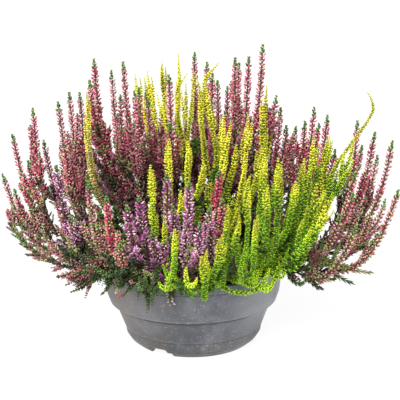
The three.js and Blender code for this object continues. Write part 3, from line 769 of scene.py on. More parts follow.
def leafy_stem(heap, line, start, end, rng, fresh, faded=0.0, shade=0.3, size=1.0):
    """The leafy, woody part of a stem: short leafed sprigs, and longer twigs in its shade. Their
    darkness is partly their own dark green and partly painted shade.
    """
    spacing, twig_spacing = (step / size**0.8 for step in (9, 7.5))
    distance, turn, share = whorls(start, end, spacing, 2, rng)
    leaf = lerp(SHADE_LEAF, LEAF_GREEN, rng.random(len(share)) * fresh)
    length = rng.uniform(*SPRIG_LEAVES, len(share))
    hues = (leaf, leaf + 0.1 * fresh)
    add_set(heap, SHORT_SPRIG, line, distance, turn, 0.7, length, length, hues, shade + 0.06, rng)

    def twig_hues(share):
        count = len(share)
        green = lerp(SHADE_LEAF, LEAF_GREEN, rng.random(count) * fresh * 0.7)
        hue = np.where(rng.random(count) < faded, faded_hues(count, rng), green)
        return hue, hue + 0.05

    zone = (start, end, twig_spacing)
    add_twigs(heap, DARK_TWIG, line, zone, SHADED_TWIG, twig_hues, 0.6, shade, rng, size)


def green_tip(heap, line, start, size, rng):
    """The bare green tip of a flowering shoot: little knobs of leaves, closing to a point."""
    distance, turn, share = whorls(start, line.length - 1.5, 3.1 * size, 3, rng, 0.1)
    length, width = lerp(5.2, 3.8, share) * size, lerp(3.3, 2.4, share) * size
    hues = (np.full(len(share), LEAF_GREEN - 0.05), LEAF_GREEN + rng.uniform(0, 0.09, len(share)))
    tilt = lerp(0.95, 0.3, share)
    add_set(heap, SMALL_BUD, line, distance, turn, tilt, length, width, hues, 0.58, rng, 0.3)


def flower_colours(share, hue, rng, height=200.0):
    """The base and tip hues of buds: dry and greenish ones low on a shoot and low on the plant."""
    count = len(share)
    pick = rng.random(count)
    tip = hue + lerp(0.07, -0.07, share) + rng.normal(0, 0.05, count)
    tip = np.clip(tip, min(hue, MAUVE) - 0.02, DEEP)
    dry = lerp(0.27, 0.04, np.minimum(1, share * 1.5)) + 0.42 * np.clip((210 - height) / 75, 0, 1)
    tip = np.where(pick < dry, STRAW + rng.uniform(-0.1, 0.03, count), tip)
    tip = np.where((pick >= dry) & (pick < dry + 0.22), PALE + rng.uniform(0, 0.07, count), tip)
    return np.where(pick < dry, tip - 0.04, np.minimum(tip + 0.08, DEEP)), tip


# How buds stand: the spacing of whorls, the buds in each, their slack, tilts, length and width,
# the finer bud near the tip, the painted shade low on the plant and the share with a leaf.
Buds = namedtuple("Buds", "spacing around slack tilts length width finer dimmed leafed")
LILAC_BUDS = Buds(3.7, 6, 0.06, (1.2, 1.05), 1.15, 2.2, FLORET, 0.2, 0.3)
OTHER_BUDS = Buds(2.6, 3, 0.16, (1.05, 0.9), 1, 2.7, PLAIN_BUD, 0.12, 0.45)


def flower_spike(heap, line, start, end, size, shoot, rng):
    """Whorls of buds along part of a line, some with a small leaf at their foot."""
    lilac = shoot.look == "lilac"
    buds = LILAC_BUDS if lilac else OTHER_BUDS
    distance, turn, share = whorls(start, end, buds.spacing * size, buds.around, rng, buds.slack)
    height = line.at(distance)[0][:, 2]
    length = lerp(7.2, 6.0, share) * lerp(0.7, 1, np.minimum(1, share * 4)) * size * buds.length
    tilt = between(buds.tilts, share)
    base, tip = flower_colours(share, shoot.hue, rng, height)
    if lilac:
        second = np.arange(len(share)) // buds.around % 2 == 0
        tip = np.where(second & (rng.random(len(share)) < 0.5), PALE, tip)
    fine = share > (0.5 if size == 1 else 0.9)
    # Painted shade: buds low on the plant are made darker, as if shaded by the plant's mass above.
    shade = 0.57 - buds.dimmed * np.clip((190 - height) / 60, 0, 1)
    for template, these in ((SMALL_BUD, ~fine), (buds.finer, fine)):
        add_set(heap, template, line, distance[these], turn[these], tilt[these], length[these],
                buds.width, (base[these], tip[these]), shade[these], rng)
    pick = rng.random(len(share)) < buds.leafed
    leaf = np.full(pick.sum(), LEAF_GREEN)
    add_set(heap, LEAF, line, distance[pick] - 0.8, turn[pick] + 0.7, 0.6, 3.8 * size, 1.4,
            (leaf - 0.09, leaf + 0.04), 0.45, rng)


def branchlet(line, distance, turn, length, reach, lift=1.0):
    """A short side shoot that leaves a line and turns to run upright beside it, or to hang."""
    place, along, across, cross = (value[0] for value in line.at(np.array([distance])))
    out = across * math.cos(turn) + cross * math.sin(turn)
    share = np.linspace(0, 1, 6)[:, None]
    level = min(1, 1.6 * (1 - along[2]))
    rise = unit(along * lerp(0.8, 0.25, level) + UP * lift * lerp(0.2, 0.75, level))
    return Line(place + out * reach * (1 - (1 - share) ** 2) + rise * length * share)


def count_side_spikes(line, shoot):
    """The more a shoot leans, the more side spikes it has, unless its look or spray says how many."""
    if shoot.look in ("crimson", "lilac"):
        return 2 if shoot.look == "crimson" else 3
    if shoot.spray in FEW_SPIKES:
        return FEW_SPIKES[shoot.spray][shoot.parent is not None]
    slope = 1 - abs(line.points[-1][2] - line.points[0][2]) / line.length
    return round(lerp(4, 8, min(1, 3 * slope))) + MORE_SPIKES.get(shoot.spray, 0)


def dress_flowering(heap, line, shoot, rng):
    """A flowering shoot: leafy foot, long spike with side spikes low down, and a green tip."""
    look = LOOKS[shoot.look]
    crimson = shoot.look == "crimson"
    sparse = shoot.spray in FEW_SPIKES
    thick = shoot.spray in MORE_SPIKES
    if crimson and shoot.parent:
        shoot.hue = PALE + 0.05
    length = line.length
    end = length - look.tip
    zone = shoot.zone_start(length)
    start = zone if crimson else max((0.42 if sparse else 0.28) * length, zone - 0.4 * look.zone)
    add_stem(heap, line, [(0, 1.5), (start, 1.2), (zone + 8, 2.0), (end, 0.9), (length, 0.4)],
             [(0, WOOD), (end - 10, WOOD), (length, LEAF_GREEN)], 0.42, rng)
    leafy_stem(heap, line, FOOT, lerp(start, end, 0.1), rng, 0.8, 0.0 if crimson else 0.6,
               size=0.5 if sparse else 1.0)
    if not crimson:
        wider = 1.7 if sparse else 1
        low = (lerp(FOOT, start, 0.35), lerp(start, end, 0.35), 10 * wider)
        faded_twigs(heap, SPIKELET, line, low, 1, rng)
        middle = (0.2 * length, 0.55 * length, 9 * wider)
        faded_twigs(heap, DARK_TWIG, line, middle, 1.5, rng, sparse)
    flower_spike(heap, line, start, end, 0.9 if crimson else 1.0, shoot, rng)
    add_twigs(heap, SPIKELET, line, (zone, lerp(zone, end, 0.55), 7), BUD_TWIG,
              lambda share: flower_colours(share, shoot.hue, rng), 0.65, 0.48, rng, top=0.7)
    lowest = -0.35 if thick else 0.0 if crimson else -0.2
    for share in rng.uniform(lowest, 0.42, count_side_spikes(line, shoot)):
        fork = max(0.2 * length, lerp(start, end, share))
        reach = rng.uniform(6, 15 if thick else 10)
        side = branchlet(line, fork, rng.uniform(0, 6.3), rng.uniform(*SIDE_SPIKE), reach)
        add_stem(heap, side, (0.9, 0.5), (WOOD, SHADE_LEAF), 0.26, rng)
        flower_spike(heap, side, 3, side.length - 5, 0.8, shoot, rng)
        green_tip(heap, side, side.length - 6, 0.75, rng)
    green_tip(heap, line, end, 1.0, rng)


def leafy_cord(heap, line, start, size, greens, fresh_length, rng, below=0.0, light=0.55):
    """A slim cord of knobs of scale leaves in whorls of three, drawn in and fresher at its tip."""
    distance, turn, share = whorls(start, line.length - 1, 0.66 * size, 3, rng, 0.12)
    left = line.length - distance
    height = line.at(distance)[0][:, 2]
    fresh = np.clip(1 - (left + below) / fresh_length, 0, 1) * np.clip((height - 95) / 50, 0.35, 1)
    length = size * np.minimum(1, 0.32 + left / 32)
    (low_base, high_base), (low_tip, high_tip) = greens
    hues = (lerp(low_base, high_base, fresh), lerp(low_tip, high_tip, fresh))
    # Painted light: cords low on the plant are made lighter against the shade they stand in, except the
    # dusky green ones.
    low = 0.0 if greens is DUSKY_GREENS else 0.05 + 0.3 * np.clip((200 - height) / 80, 0, 1)
    shade = light + rng.uniform(-0.27, 0.1) + 0.09 * fresh + low
    tilt = lerp(0.95, 0.6, share)
    add_set(heap, KNOB, line, distance, turn, tilt, length, length * 1.1, hues, shade, rng, 0.4)


def dress_lime(heap, line, shoot, rng):
    """A lime shoot: a bundle of upright leafy cords, green below and yellow at their tips."""
    high = smoothstep(line.points[-1][2], 262, 315)
    full = FULLNESS.get(shoot.spray, 1)
    inner = math.hypot(*line.points[-1][:2]) < INNER_LIME
    dusty, leaning = shoot.spray == DUSTY_LIME, shoot.spray == LEANING_LIME
    fresh_length = 75 if dusty else lerp(100 if inner else 46, 260, high)
    greens = DUSTY_GREENS if dusty else LIME_GREENS
    bare = full < 1 and shoot.spray not in LEAFY_FOOTED
    start = (0.42 if bare else 0.2) * line.length
    add_stem(heap, line, [(0, 1.5), (start, 1.6), (start + 8, 1.8), (line.length, 0.4)],
             [(0, WOOD), (start, SHADE_LEAF), (line.length, NEW_LEAF)], 0.3, rng)
    leafy_stem(heap, line, FOOT, start, rng, 1.2, shade=0.42)
    knob = lerp(MAIN_KNOB, 5.0, high) * lerp(1, full, 0.5)
    leafy_cord(heap, line, start, knob, greens, fresh_length, rng)
    more, upto, wider = (1.5, 0.42, 1.4) if leaning else (full, 0.8, full)
    count = round((line.length - start) / lerp(20, 25, high) * more)
    for share in (np.arange(count) + rng.uniform(0, 1, count)) / count * upto:
        fork = lerp(start, line.length, share)
        length = min(rng.uniform(*SIDE_CORD), 0.85 * (line.length - fork))
        side = branchlet(line, fork, rng.uniform(0, 6.3), length, rng.uniform(5, 8) * wider)
        below = max(0.0, line.length - fork - side.length) * 0.6
        add_stem(heap, side, (0.9, 0.4), (SHADE_LEAF, NEW_LEAF), 0.3, rng)
        leafy_cord(heap, side, 3, rng.uniform(*SIDE_KNOB), greens, fresh_length, rng, below)


def dress_green(heap, line, shoot, rng):
    """A low or hanging leafy shoot of knobbly cords, with a few buds among its leaves."""
    start = min(shoot.zone_start(line.length), 0.3 * line.length)
    lime, green = shoot.look == "lime", shoot.look == "green"
    bright = lime or shoot.spray == THIN_GREEN
    thin = shoot.spray in FEW_SPIKES or shoot.spray == THIN_GREEN
    # Bright low cords get a higher light: partly their own fresh green, and partly painted light against
    # the shade low on the plant.
    greens, light, shade = (LOW_LIME_GREENS, 0.76, 0.42) if bright else (DUSKY_GREENS, 0.55, 0.3)
    add_stem(heap, line, (1.3, 0.6), (WOOD, SHADE_LEAF), 0.3, rng)
    leafy_stem(heap, line, FOOT, start, rng, 1.0, shade=shade, size=0.5 if thin else 1.0)
    leafy_cord(heap, line, start, MAIN_KNOB, greens, LOW_FRESH, rng, light=light)
    spacing = 18 if thin else 6 if green else 11
    for share in rng.uniform(0.05, 0.75, round((line.length - start) / spacing)):
        fork = lerp(start, line.length, share)
        length = min(rng.uniform(*LOW_CORD), 0.9 * (line.length - fork) + 6)
        lift = rng.uniform(-0.7, 1) if green and not thin else 1.0
        side = branchlet(line, fork, rng.uniform(0, 6.3), length, rng.uniform(5, 9), lift)
        leafy_cord(heap, side, 2, rng.uniform(*SIDE_KNOB), greens, LOW_FRESH, rng, light=light)
    if lime:
        return
    distance, turn, share = whorls(start, line.length - 6, 9, 1, rng, 0.4)
    length = rng.uniform(*LOW_BUD_TWIG, len(share))
    base, tip = flower_colours(share * 0.4, min(shoot.hue, MAUVE + 0.04), rng)
    kept_share = {"crimson": 0.0, "green": 0.15}.get(shoot.look, 0.3 if thin else 0.6)
    kept = rng.random(len(share)) < kept_share
    turn = turn + rng.uniform(0, 6, len(share))
    add_set(heap, SPIKELET, line, distance[kept], turn[kept], 0.7, length[kept], length[kept],
            (base[kept], tip[kept]), 0.46, rng)


# Thin sprigs that trail over the rim or stand low: the spray and the points of each.
SPRIGS = (
    (45, [(24, -84, 96), (30, -104, 108), (36, -121, 108), (52, -119, 100), (74, -104, 97),
          (92, -90, 99), (100, -84, 106), (97, -84, 115), (90, -84, 120)]),
    (31, [(-34, -90, 98), (-34, -108, 110), (-31, -120, 107), (-28, -122, 98), (-26, -122, 86)]),
    (0, [(-70, -30, 100), (-96, -52, 109), (-125, -55, 107), (-145, -45, 109), (-170, -35, 113),
         (-194, -20, 121), (-214, -5, 133), (-228, 8, 150), (-234, 14, 170)]),
    (17, [(60, 40, 97), (84, 50, 112), (104, 58, 133), (113, 61, 158), (119, 62, 185),
          (121, 63, 208)]),
    (17, [(62, 44, 97), (82, 53, 112), (97, 58, 128), (104, 60, 150), (107, 60, 174)]),
    (48, [(-80, -45, 100), (-100, -60, 111), (-131, -65, 116), (-149, -55, 121),
          (-167, -40, 130), (-180, -30, 143)]),
    (48, [(-90, -62, 102), (-104, -72, 110), (-116, -80, 107), (-130, -85, 106),
          (-145, -88, 109), (-157, -86, 116)]),
    (48, [(-84, -64, 100), (-100, -78, 111), (-113, -85, 113), (-125, -90, 118),
          (-139, -95, 121), (-161, -98, 116)]),
    (48, [(-90, -60, 104), (-108, -72, 118), (-125, -80, 129), (-139, -80, 138),
          (-151, -76, 149), (-159, -70, 166)]),
)
LONG_SPRIG = 75


def dress_sprig(heap, points, look, rng):
    """A thin leafy sprig. Unless it is lime it has a few pale buds, and faded twigs if long."""
    lime = look == "lime"
    line = Line(np.array(points, float))
    add_stem(heap, line, (1.2, 0.5), (WOOD, LEAF_GREEN), 0.4, rng)
    leafy_cord(heap, line, 12, 5.0, LOW_LIME_GREENS if lime else DUSKY_GREENS, 80, rng)
    if lime:
        return
    if line.length > LONG_SPRIG:
        faded_twigs(heap, DARK_TWIG, line, (30, line.length - 12, 5), 0.8, rng, True)
        outer = (0.45 * line.length, line.length - 8, 4.5)
        faded_twigs(heap, SPIKELET, line, outer, 0.8, rng)
    distance, turn, share = whorls(line.length - 22, line.length - 3, 3.2, 3, rng)
    pale = np.full(len(share), PALE)
    hues = (pale - 0.1, pale + 0.04)
    add_set(heap, SMALL_BUD, line, distance, turn, 1.0, 5.5, 2.6, hues, 0.56, rng)


def dress_spray(spray, shoots):
    """The fine points and triangles of one spray. A shoot's hue is that of its flowers."""
    look = SPRAYS[spray][0]
    heap = Heap()
    hue = lerp(MAUVE, DEEP - 0.04, np.random.default_rng([7, spray]).random())
    outer = math.hypot(*shoots[0].points[-1][:2]) > OUTER_SPRAY
    for index, shoot in enumerate(shoots):
        rng = np.random.default_rng([spray, index])
        points = shoot.points
        if shoot.parent is None:
            foot = points[0] * [1, 1, 0]
            depth = [foot + UP * (SOIL_TOP - ROOT_DEPTH + 0.5), foot + UP * (SOIL_TOP - 3)]
            points = np.concatenate([depth, points])
        dress = dress_lime if look == "lime" else dress_flowering
        if look == "green" or (shoot is shoots[-1] and (outer or look == "lime")):
            dress = dress_green
        shoot.hue = hue + rng.normal(0, 0.03)
        dress(heap, Line(points), shoot, rng)
    for owner, points in SPRIGS:
        if owner == spray:
            dress_sprig(heap, points, look, np.random.default_rng([5, spray]))
    return heap


# ---------------------------------------------------------------- bowl and soil

# Radii and heights of the bowl's wall, outside and inside.
OUTER_WALL = [
    (0, FOOT_RECESS), (FOOT_INNER_RADIUS, FOOT_RECESS), (FOOT_INNER_RADIUS + 1, 0),
    (FOOT_RADIUS, 0), (81.9, 7.3), (86.6, 14.7), (87, 22), (88.2, 22.8), (94.5, 39.5),
    (100, 55), (106.5, 56.2), (110.6, 68), (112.2, 82), (113, 94.6), (RIM_RADIUS, 95.6),
    (RIM_RADIUS, RIM_TOP - 1), (RIM_RADIUS - 1, RIM_TOP),
]
INNER_WALL = [
    (111, RIM_TOP), (110.2, 96), (108.2, 68), (97, 53), (84.6, 22), (79, FLOOR_TOP),
    (0, FLOOR_TOP),
]
CORNER_CUT = 0.7
BOWL_STEPS = 180
SOIL_STEPS = 120
SOIL_RINGS = range(108, 0, -3)


def softened(profile, cut):
    """The profile with each corner rounded by two short chords, and a point held on each side."""
    profile = np.array(profile, float)
    points = [profile[0]]
    for before, corner, after in zip(profile, profile[1:], profile[2:]):
        (held, near), (held_after, far) = (
            [corner + away * min(most, cut * reach / np.linalg.norm(away))
             for reach, most in ((1.8, 0.45), (1, 0.3))]
            for away in (before - corner, after - corner)
        )
        points += [held, near, (near + 2 * corner + far) / 4, far, held_after]
    return np.array(points + [profile[-1]])


def turned(profile, steps):
    """Points and faces of a closed body of revolution about Z."""
    turn = np.arange(steps) * 2 * math.pi / steps
    rings = [[(0, 0, z)] if r < 1e-6 else np.stack(
        [r * np.cos(turn), r * np.sin(turn), np.full(steps, z)], 1) for r, z in profile]
    first = np.cumsum([0] + [len(ring) for ring in rings])
    faces = []
    after = (np.arange(steps) + 1) % steps
    for low, high, a, b in zip(rings, rings[1:], first, first[1:]):
        k = np.arange(steps)
        if len(low) == 1:
            faces += [(a, b + j, b + i) for i, j in zip(k, after)]
        elif len(high) == 1:
            faces += [(a + i, a + j, b) for i, j in zip(k, after)]
        else:
            faces += [(a + i, a + j, b + j, b + i) for i, j in zip(k, after)]
    return np.concatenate([np.array(ring, float) for ring in rings]), faces


def notch_ceiling(points):
    """The height below which a foot notch takes the bowl's wall away, or 0 away from them."""
    ceiling = np.zeros(len(points))
    for angle in np.radians(NOTCH_ANGLES):
        out = points[:, 0] * math.cos(angle) + points[:, 1] * math.sin(angle)
        aside = np.abs(points[:, 1] * math.cos(angle) - points[:, 0] * math.sin(angle))
        slope = (NOTCH_WIDTH_BELOW - NOTCH_WIDTH_ABOVE) / 2 / NOTCH_HEIGHT
        height = np.clip((NOTCH_WIDTH_BELOW / 2 - aside) / slope, 0, NOTCH_HEIGHT)
        ceiling = np.where((out > FOOT_INNER_RADIUS - 4) & (height > 0), height, ceiling)
    return ceiling


def make_bowl(material):
    profile = softened([*OUTER_WALL, *INNER_WALL], CORNER_CUT)
    points, faces = turned(profile, BOWL_STEPS)
    points[:, 2] = np.maximum(points[:, 2], notch_ceiling(points))
    add_piece(smooth_mesh("bowl_dressed", points, faces), material, "bowl")


def make_soil(material, rng):
    """Peat with a rough, crumbed top, inside the bowl's inner wall."""
    wall = [(r, z) for r, z in INNER_WALL if z < SOIL_TOP and r > 0][::-1]
    profile = [(0, FLOOR_TOP + FIT_GAP)]
    profile += [(r - FIT_GAP, max(z, FLOOR_TOP + FIT_GAP)) for r, z in wall]
    profile.append((SOIL_RADIUS, SOIL_TOP - 2))
    profile += [(r, SOIL_TOP) for r in (*SOIL_RINGS, 0)]
    points, faces = turned(profile, SOIL_STEPS)
    top = points[:, 2] > SOIL_TOP - 1
    x, y = points[:, 0], points[:, 1]
    lowering = (np.sin(0.11 * x + 1.3) + np.cos(0.13 * y - 0.6) + 2) / 4
    grain = rng.uniform(-1.2, 0.2, len(points)) * (np.hypot(x, y) > 1)
    points[:, 2] = np.where(top, SOIL_TOP - SOIL_ROUGHNESS * lowering + grain, points[:, 2])
    add_piece(smooth_mesh("soil_dressed", points, faces), material, "soil")


def add_object(name, data):
    thing = bpy.data.objects.new(name, data)
    bpy.context.scene.collection.objects.link(thing)
    return thing


def add_piece(mesh, material, node):
    """A piece that rides on the part and stands for a node."""
    piece = add_object(mesh.name, mesh)
    mesh.materials.append(material)
    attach(piece, "root")
    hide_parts(node)


# ---------------------------------------------------------------- materials


def linear(colour):
    """An sRGB colour of 0 to 255 as a linear colour with alpha."""
    shares = np.array(colour) / 255
    return (*np.where(shares <= 0.04045, shares / 12.92, ((shares + 0.055) / 1.055) ** 2.4), 1.0)


# Colours of the palette, in the order of HUES, and what each look changes in them.
COMMON = {
    "wood": (92, 70, 50),
    "shade_leaf": (44, 60, 32),
    "leaf": (94, 122, 62),
    "new_leaf": (140, 160, 88),
    "straw": (194, 176, 126),
    "pale": (228, 182, 182),
    "mauve": (182, 120, 124),
    "rose": (194, 84, 108),
    "deep": (166, 44, 76),
}
LOOK_COLOURS = {
    "rose": {},
    "crimson": {"pale": (226, 150, 160), "mauve": (206, 78, 104), "rose": (202, 52, 96),
                "deep": (150, 26, 62)},
    "lilac": {"pale": (236, 198, 220), "mauve": (186, 110, 156), "rose": (160, 76, 134),
              "deep": (110, 46, 88)},
    "lime": {"wood": (74, 84, 34), "shade_leaf": (38, 74, 6), "leaf": (92, 144, 14),
             "new_leaf": (174, 204, 42), "straw": (240, 222, 54), "pale": (255, 244, 104)},
    "green": {"leaf": (84, 112, 54), "new_leaf": (138, 160, 84)},
}


class Graph:
    """A material and short calls for building its nodes. Scales count features per metre."""

    def __init__(self, name, roughness):
        self.material = bpy.data.materials.new(name)
        self.material.use_nodes = True
        self.nodes, self.links = self.material.node_tree.nodes, self.material.node_tree.links
        self.shader = self.nodes["Principled BSDF"]
        self.shader.inputs["Roughness"].default_value = roughness

    def put(self, value, socket):
        if hasattr(value, "links"):
            self.links.new(value, socket)
        else:
            socket.default_value = value

    def node(self, kind, *inputs, **settings):
        node = self.nodes.new("ShaderNode" + kind)
        for key, value in settings.items():
            setattr(node, key, value)
        for socket, value in inputs:
            self.put(value, node.inputs[socket])
        return node

    def locate(self):
        """Makes the place on the object known, and its x, y and z."""
        self.place = self.node("TexCoord").outputs["Object"]
        self.x, self.y, self.z = self.node("SeparateXYZ", (0, self.place)).outputs

    def noise(self, scale, detail=3.0, stretch=None):
        """A noise value from 0 to 1."""
        place = self.place
        if stretch:
            place = self.node("Mapping", ("Vector", place), ("Scale", stretch)).outputs[0]
        node = self.node("TexNoise", ("Vector", place), ("Scale", scale), ("Detail", detail))
        return node.outputs["Fac"]

    def span(self, value, low, high, start=0.0, end=1.0):
        """The value's place between low and high, smoothed, as start to end."""
        node = self.node("MapRange", ("Value", value), ("From Min", low), ("From Max", high),
                         ("To Min", start), ("To Max", end), interpolation_type="SMOOTHSTEP")
        return node.outputs["Result"]

    def math(self, operation, a, b):
        return self.node("Math", (0, a), (1, b), operation=operation).outputs[0]

    def times(self, a, b):
        return self.math("MULTIPLY", a, b)

    def plus(self, a, b):
        return self.math("ADD", a, b)

    def mix(self, share, below, above):
        """A colour between two. Each is an sRGB colour or an earlier result."""
        node = self.node("Mix", (0, share), data_type="RGBA")
        for socket, colour in ((6, below), (7, above)):
            self.put(linear(colour) if isinstance(colour, tuple) else colour, node.inputs[socket])
        return node.outputs[2]

    def tint(self, colour, value, low, high, share, tint):
        """The colour, mixed with a tint by up to a share as the value goes from low to high."""
        return self.mix(self.span(value, low, high, 0.0, share), colour, tint)

    def bump(self, height, distance, strength, normal=None):
        inputs = [("Height", height), ("Distance", distance), ("Strength", strength)]
        if normal:
            inputs.append(("Normal", normal))
        return self.node("Bump", *inputs).outputs[0]


def heather_material(look):
    """Colours read from a palette by each point's hue and shade, which its map holds."""
    g = Graph(look + "_heather", 0.6)
    colours = {**COMMON, **LOOK_COLOURS[look]}
    place = g.node("SeparateXYZ", (0, g.node("UVMap", uv_map="OFBake").outputs["UV"])).outputs
    palette = g.node("ValToRGB", ("Fac", place["X"]))
    stops = palette.color_ramp.elements
    for index, (hue, name) in enumerate(zip(HUES, COMMON)):
        stop = stops[index] if index < 1 else stops.new(hue)
        stop.position, stop.color = hue, linear(colours[name])
    stops.remove(stops[-1])
    # The shade scales each colour. It carries random tone, and also the painted shade deep in the plant,
    # at the feet of buds and leaves and low on the plant, and painted light at their tips and on low
    # cords.
    strength = g.node("MapRange", ("Value", place["Y"]), ("To Min", 0.1), ("To Max", 1.9))
    shaded = g.node("VectorMath", (0, palette.outputs["Color"]),
                    ("Scale", strength.outputs["Result"]), operation="SCALE")
    g.put(shaded.outputs["Vector"], g.shader.inputs["Base Color"])
    return g.material


# Painted shadow lines under the bowl's steps and painted highlights on the edges beside them:
# the lowest and highest point in metres, the strength and the colour of each.
PAINTED_STEP_LINES = (
    (0.0932, 0.0957, 0.9, (40, 40, 44)), (0.0518, 0.0562, 0.95, (34, 34, 37)),
    (0.0210, 0.0228, 0.55, (46, 46, 48)), (0.0572, 0.0592, 0.3, (136, 136, 139)),
    (0.0235, 0.025, 0.25, (112, 112, 114)),
)
SPECKS = ((620, 0.4), (330, 0.26))  # cells per metre, and a speck's reach in its cell


def bowl_material():
    """Matt slate plastic with dust, lime specks towards one side and a soiled foot. It has painted shade
    low down, on its right and under its steps, and painted light on its left and on its step edges.
    """
    g = Graph("bowl_plastic", 0.55)
    g.locate()
    cloud, fine, grain = g.noise(16, 4.0), g.noise(90, 4.0), g.noise(1400, 2.0)
    streak = g.noise(60, 3.0, (1.0, 1.0, 0.12))
    # Painted shade: the wall is darker towards the bottom.
    colour = g.mix(g.span(g.z, 0.004, 0.1), (56, 57, 59), (96, 97, 100))
    # Painted shade: the right side, away from the light, is bluer.
    right = g.span(g.plus(g.x, g.times(cloud, 0.05)), -0.05, 0.09)
    colour = g.mix(g.times(right, 0.5), colour, (82, 88, 101))
    # Painted light: the left, lit side is lighter and warmer. The far right is paler, and random clouds
    # are lighter and darker.
    for value, low, high, share, tint in (
        (g.x, -0.015, -0.1, 0.7, (118, 110, 103)), (g.x, 0.03, 0.1, 0.9, (166, 169, 174)),
        (cloud, 0.48, 0.66, 0.5, (118, 120, 128)), (cloud, 0.48, 0.34, 0.45, (62, 65, 76)),
    ):
        colour = g.tint(colour, value, low, high, share, tint)
    dirt = g.times(g.span(g.z, 0.055, 0.004), g.span(g.plus(cloud, fine), 0.78, 1.2))
    colour = g.mix(g.times(dirt, 0.75), colour, (72, 62, 52))
    colour = g.tint(colour, streak, 0.5, 0.75, 0.35, (124, 125, 130))
    # Noise breaks up the strength of each painted shadow line and highlight.
    painted_line_breakup = g.span(fine, 0.3, 0.6, 0.55, 1.0)
    for low, high, share, shade in PAINTED_STEP_LINES:
        middle, reach = (low + high) / 2, (high - low) / 2
        away = g.math("ABSOLUTE", g.math("SUBTRACT", g.z, middle), 0.0)
        line = g.times(g.span(away, reach * 1.3, reach * 0.6, 0.0, share), painted_line_breakup)
        colour = g.mix(line, colour, shade)
    lime = g.times(g.span(g.noise(30, 3.0), 0.36, 0.62), g.span(g.x, -0.06, 0.06, 0.25, 1.0))
    specks = 0.0
    for scale, size in SPECKS:
        cell = g.node("TexVoronoi", ("Vector", g.place), ("Scale", scale))
        pick = g.node("SeparateXYZ", (0, cell.outputs["Color"])).outputs
        chosen = g.span(g.plus(pick[0], g.times(lime, 0.5)), 0.88, 0.96)
        reach = g.times(pick[1], size)
        dot = g.span(g.math("SUBTRACT", cell.outputs["Distance"], reach), 0.06, -0.04)
        specks = g.math("MAXIMUM", g.times(dot, chosen), specks)
    haze = g.times(lime, g.span(fine, 0.4, 0.62, 0.0, 0.34))
    colour = g.mix(haze, colour, (136, 139, 146))
    colour = g.mix(g.times(specks, 0.6), colour, (184, 187, 194))
    colour = g.tint(colour, grain, 0.35, 0.7, 0.22, (60, 60, 64))
    g.put(colour, g.shader.inputs["Base Color"])
    rough = g.plus(g.span(cloud, 0.35, 0.65, 0.46, 0.6), g.times(specks, 0.25))
    g.put(rough, g.shader.inputs["Roughness"])
    normal = g.bump(grain, 0.0004, 0.35)
    normal = g.bump(fine, 0.001, 0.12, normal)
    g.put(g.bump(specks, 0.0003, 0.5, normal), g.shader.inputs["Normal"])
    return g.material


def soil_material():
    """Dark damp peat with paler fibres and crumbs."""
    g = Graph("potting_soil", 0.95)
    g.locate()
    crumb, coarse = g.noise(420, 5.0), g.noise(110, 4.0)
    fibre = g.noise(300, 3.0, (1.0, 0.15, 1.0))
    colour = g.mix(g.span(crumb, 0.35, 0.65), (22, 16, 12), (58, 44, 33))
    colour = g.tint(colour, fibre, 0.62, 0.72, 0.6, (104, 82, 58))
    colour = g.tint(colour, coarse, 0.55, 0.7, 0.5, (34, 25, 19))
    g.put(colour, g.shader.inputs["Base Color"])
    g.put(g.span(coarse, 0.3, 0.7, 0.8, 1.0), g.shader.inputs["Roughness"])
    normal = g.bump(coarse, 0.003, 0.6)
    g.put(g.bump(crumb, 0.0015, 0.8, normal), g.shader.inputs["Normal"])
    return g.material


# ---------------------------------------------------------------- stage


def add_camera():
    data = bpy.data.cameras.new("camera")
    data.lens, data.sensor_width = CAMERA_LENS, SENSOR_WIDTH
    camera = add_object("camera", data)
    turn = Matrix.Rotation(math.radians(-CAMERA_YAW), 4, "Z")
    pitch = Matrix.Rotation(math.radians(90 + CAMERA_PITCH), 4, "X")
    roll = Matrix.Rotation(math.radians(-CAMERA_ROLL), 4, "Z")
    camera.matrix_world = Matrix.Translation(CAMERA_PLACE) @ turn @ pitch @ roll
    bpy.context.scene.camera = camera


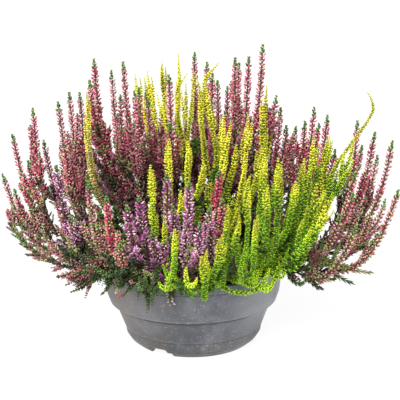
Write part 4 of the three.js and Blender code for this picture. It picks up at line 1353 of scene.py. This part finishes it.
def add_floor():
    mesh = bpy.data.meshes.new("floor")
    corners = [(x * FLOOR_REACH, y * FLOOR_REACH, 0) for x, y in ((-1, -1), (1, -1), (1, 1), (-1, 1))]
    mesh.from_pydata(corners, [], [(0, 1, 2, 3)])
    floor = add_object("floor", mesh)
    g = Graph("floor", 0.9)
    g.put(linear(FLOOR_GREY), g.shader.inputs["Base Color"])
    g.put(WHITE, g.shader.inputs["Emission Color"])
    g.put(FLOOR_GLOW, g.shader.inputs["Emission Strength"])
    mesh.materials.append(g.material)


def add_sun(name, towards, softness, strength):
    """A broad, soft light that comes from one direction."""
    data = bpy.data.lights.new(name, "SUN")
    data.angle, data.energy = math.radians(softness), strength
    turn = Vector(towards).to_track_quat("Z", "Y")
    add_object(name, data).rotation_euler = turn.to_euler()


def add_lights():
    world = bpy.data.worlds.new("studio")
    world.use_nodes = True
    background = world.node_tree.nodes["Background"]
    background.inputs["Color"].default_value = WHITE
    background.inputs["Strength"].default_value = WORLD_STRENGTH
    bpy.context.scene.world = world
    add_sun("key", KEY_FROM, KEY_SOFTNESS, KEY_STRENGTH)


# ---------------------------------------------------------------- assembly

for leftover in list(bpy.data.objects):
    bpy.data.objects.remove(leftover)
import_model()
add_camera()
add_floor()
add_lights()
bpy.context.scene.view_settings.view_transform = "Standard"

all_shoots = lay_out_shoots()
spread_shoots(all_shoots)
crook_shoots(all_shoots)
materials = {look: heather_material(look) for look in LOOKS}
make_bowl(bowl_material())
make_soil(soil_material(), np.random.default_rng(3))
numbers = dict.fromkeys(LOOKS, 0)
for spray_index, (spray_look, *_) in enumerate(SPRAYS):
    numbers[spray_look] += 1
    node = f"{spray_look}_spray_{numbers[spray_look]:02d}"
    own_shoots = [shoot for shoot in all_shoots if shoot.spray == spray_index]
    depth_shade = LIME_DEPTH_SHADE if spray_look == "lime" else DEPTH_SHADE
    spray_mesh = dress_spray(spray_index, own_shoots).mesh(node + "_dressed", depth_shade)
    add_piece(spray_mesh, materials[spray_look], node)
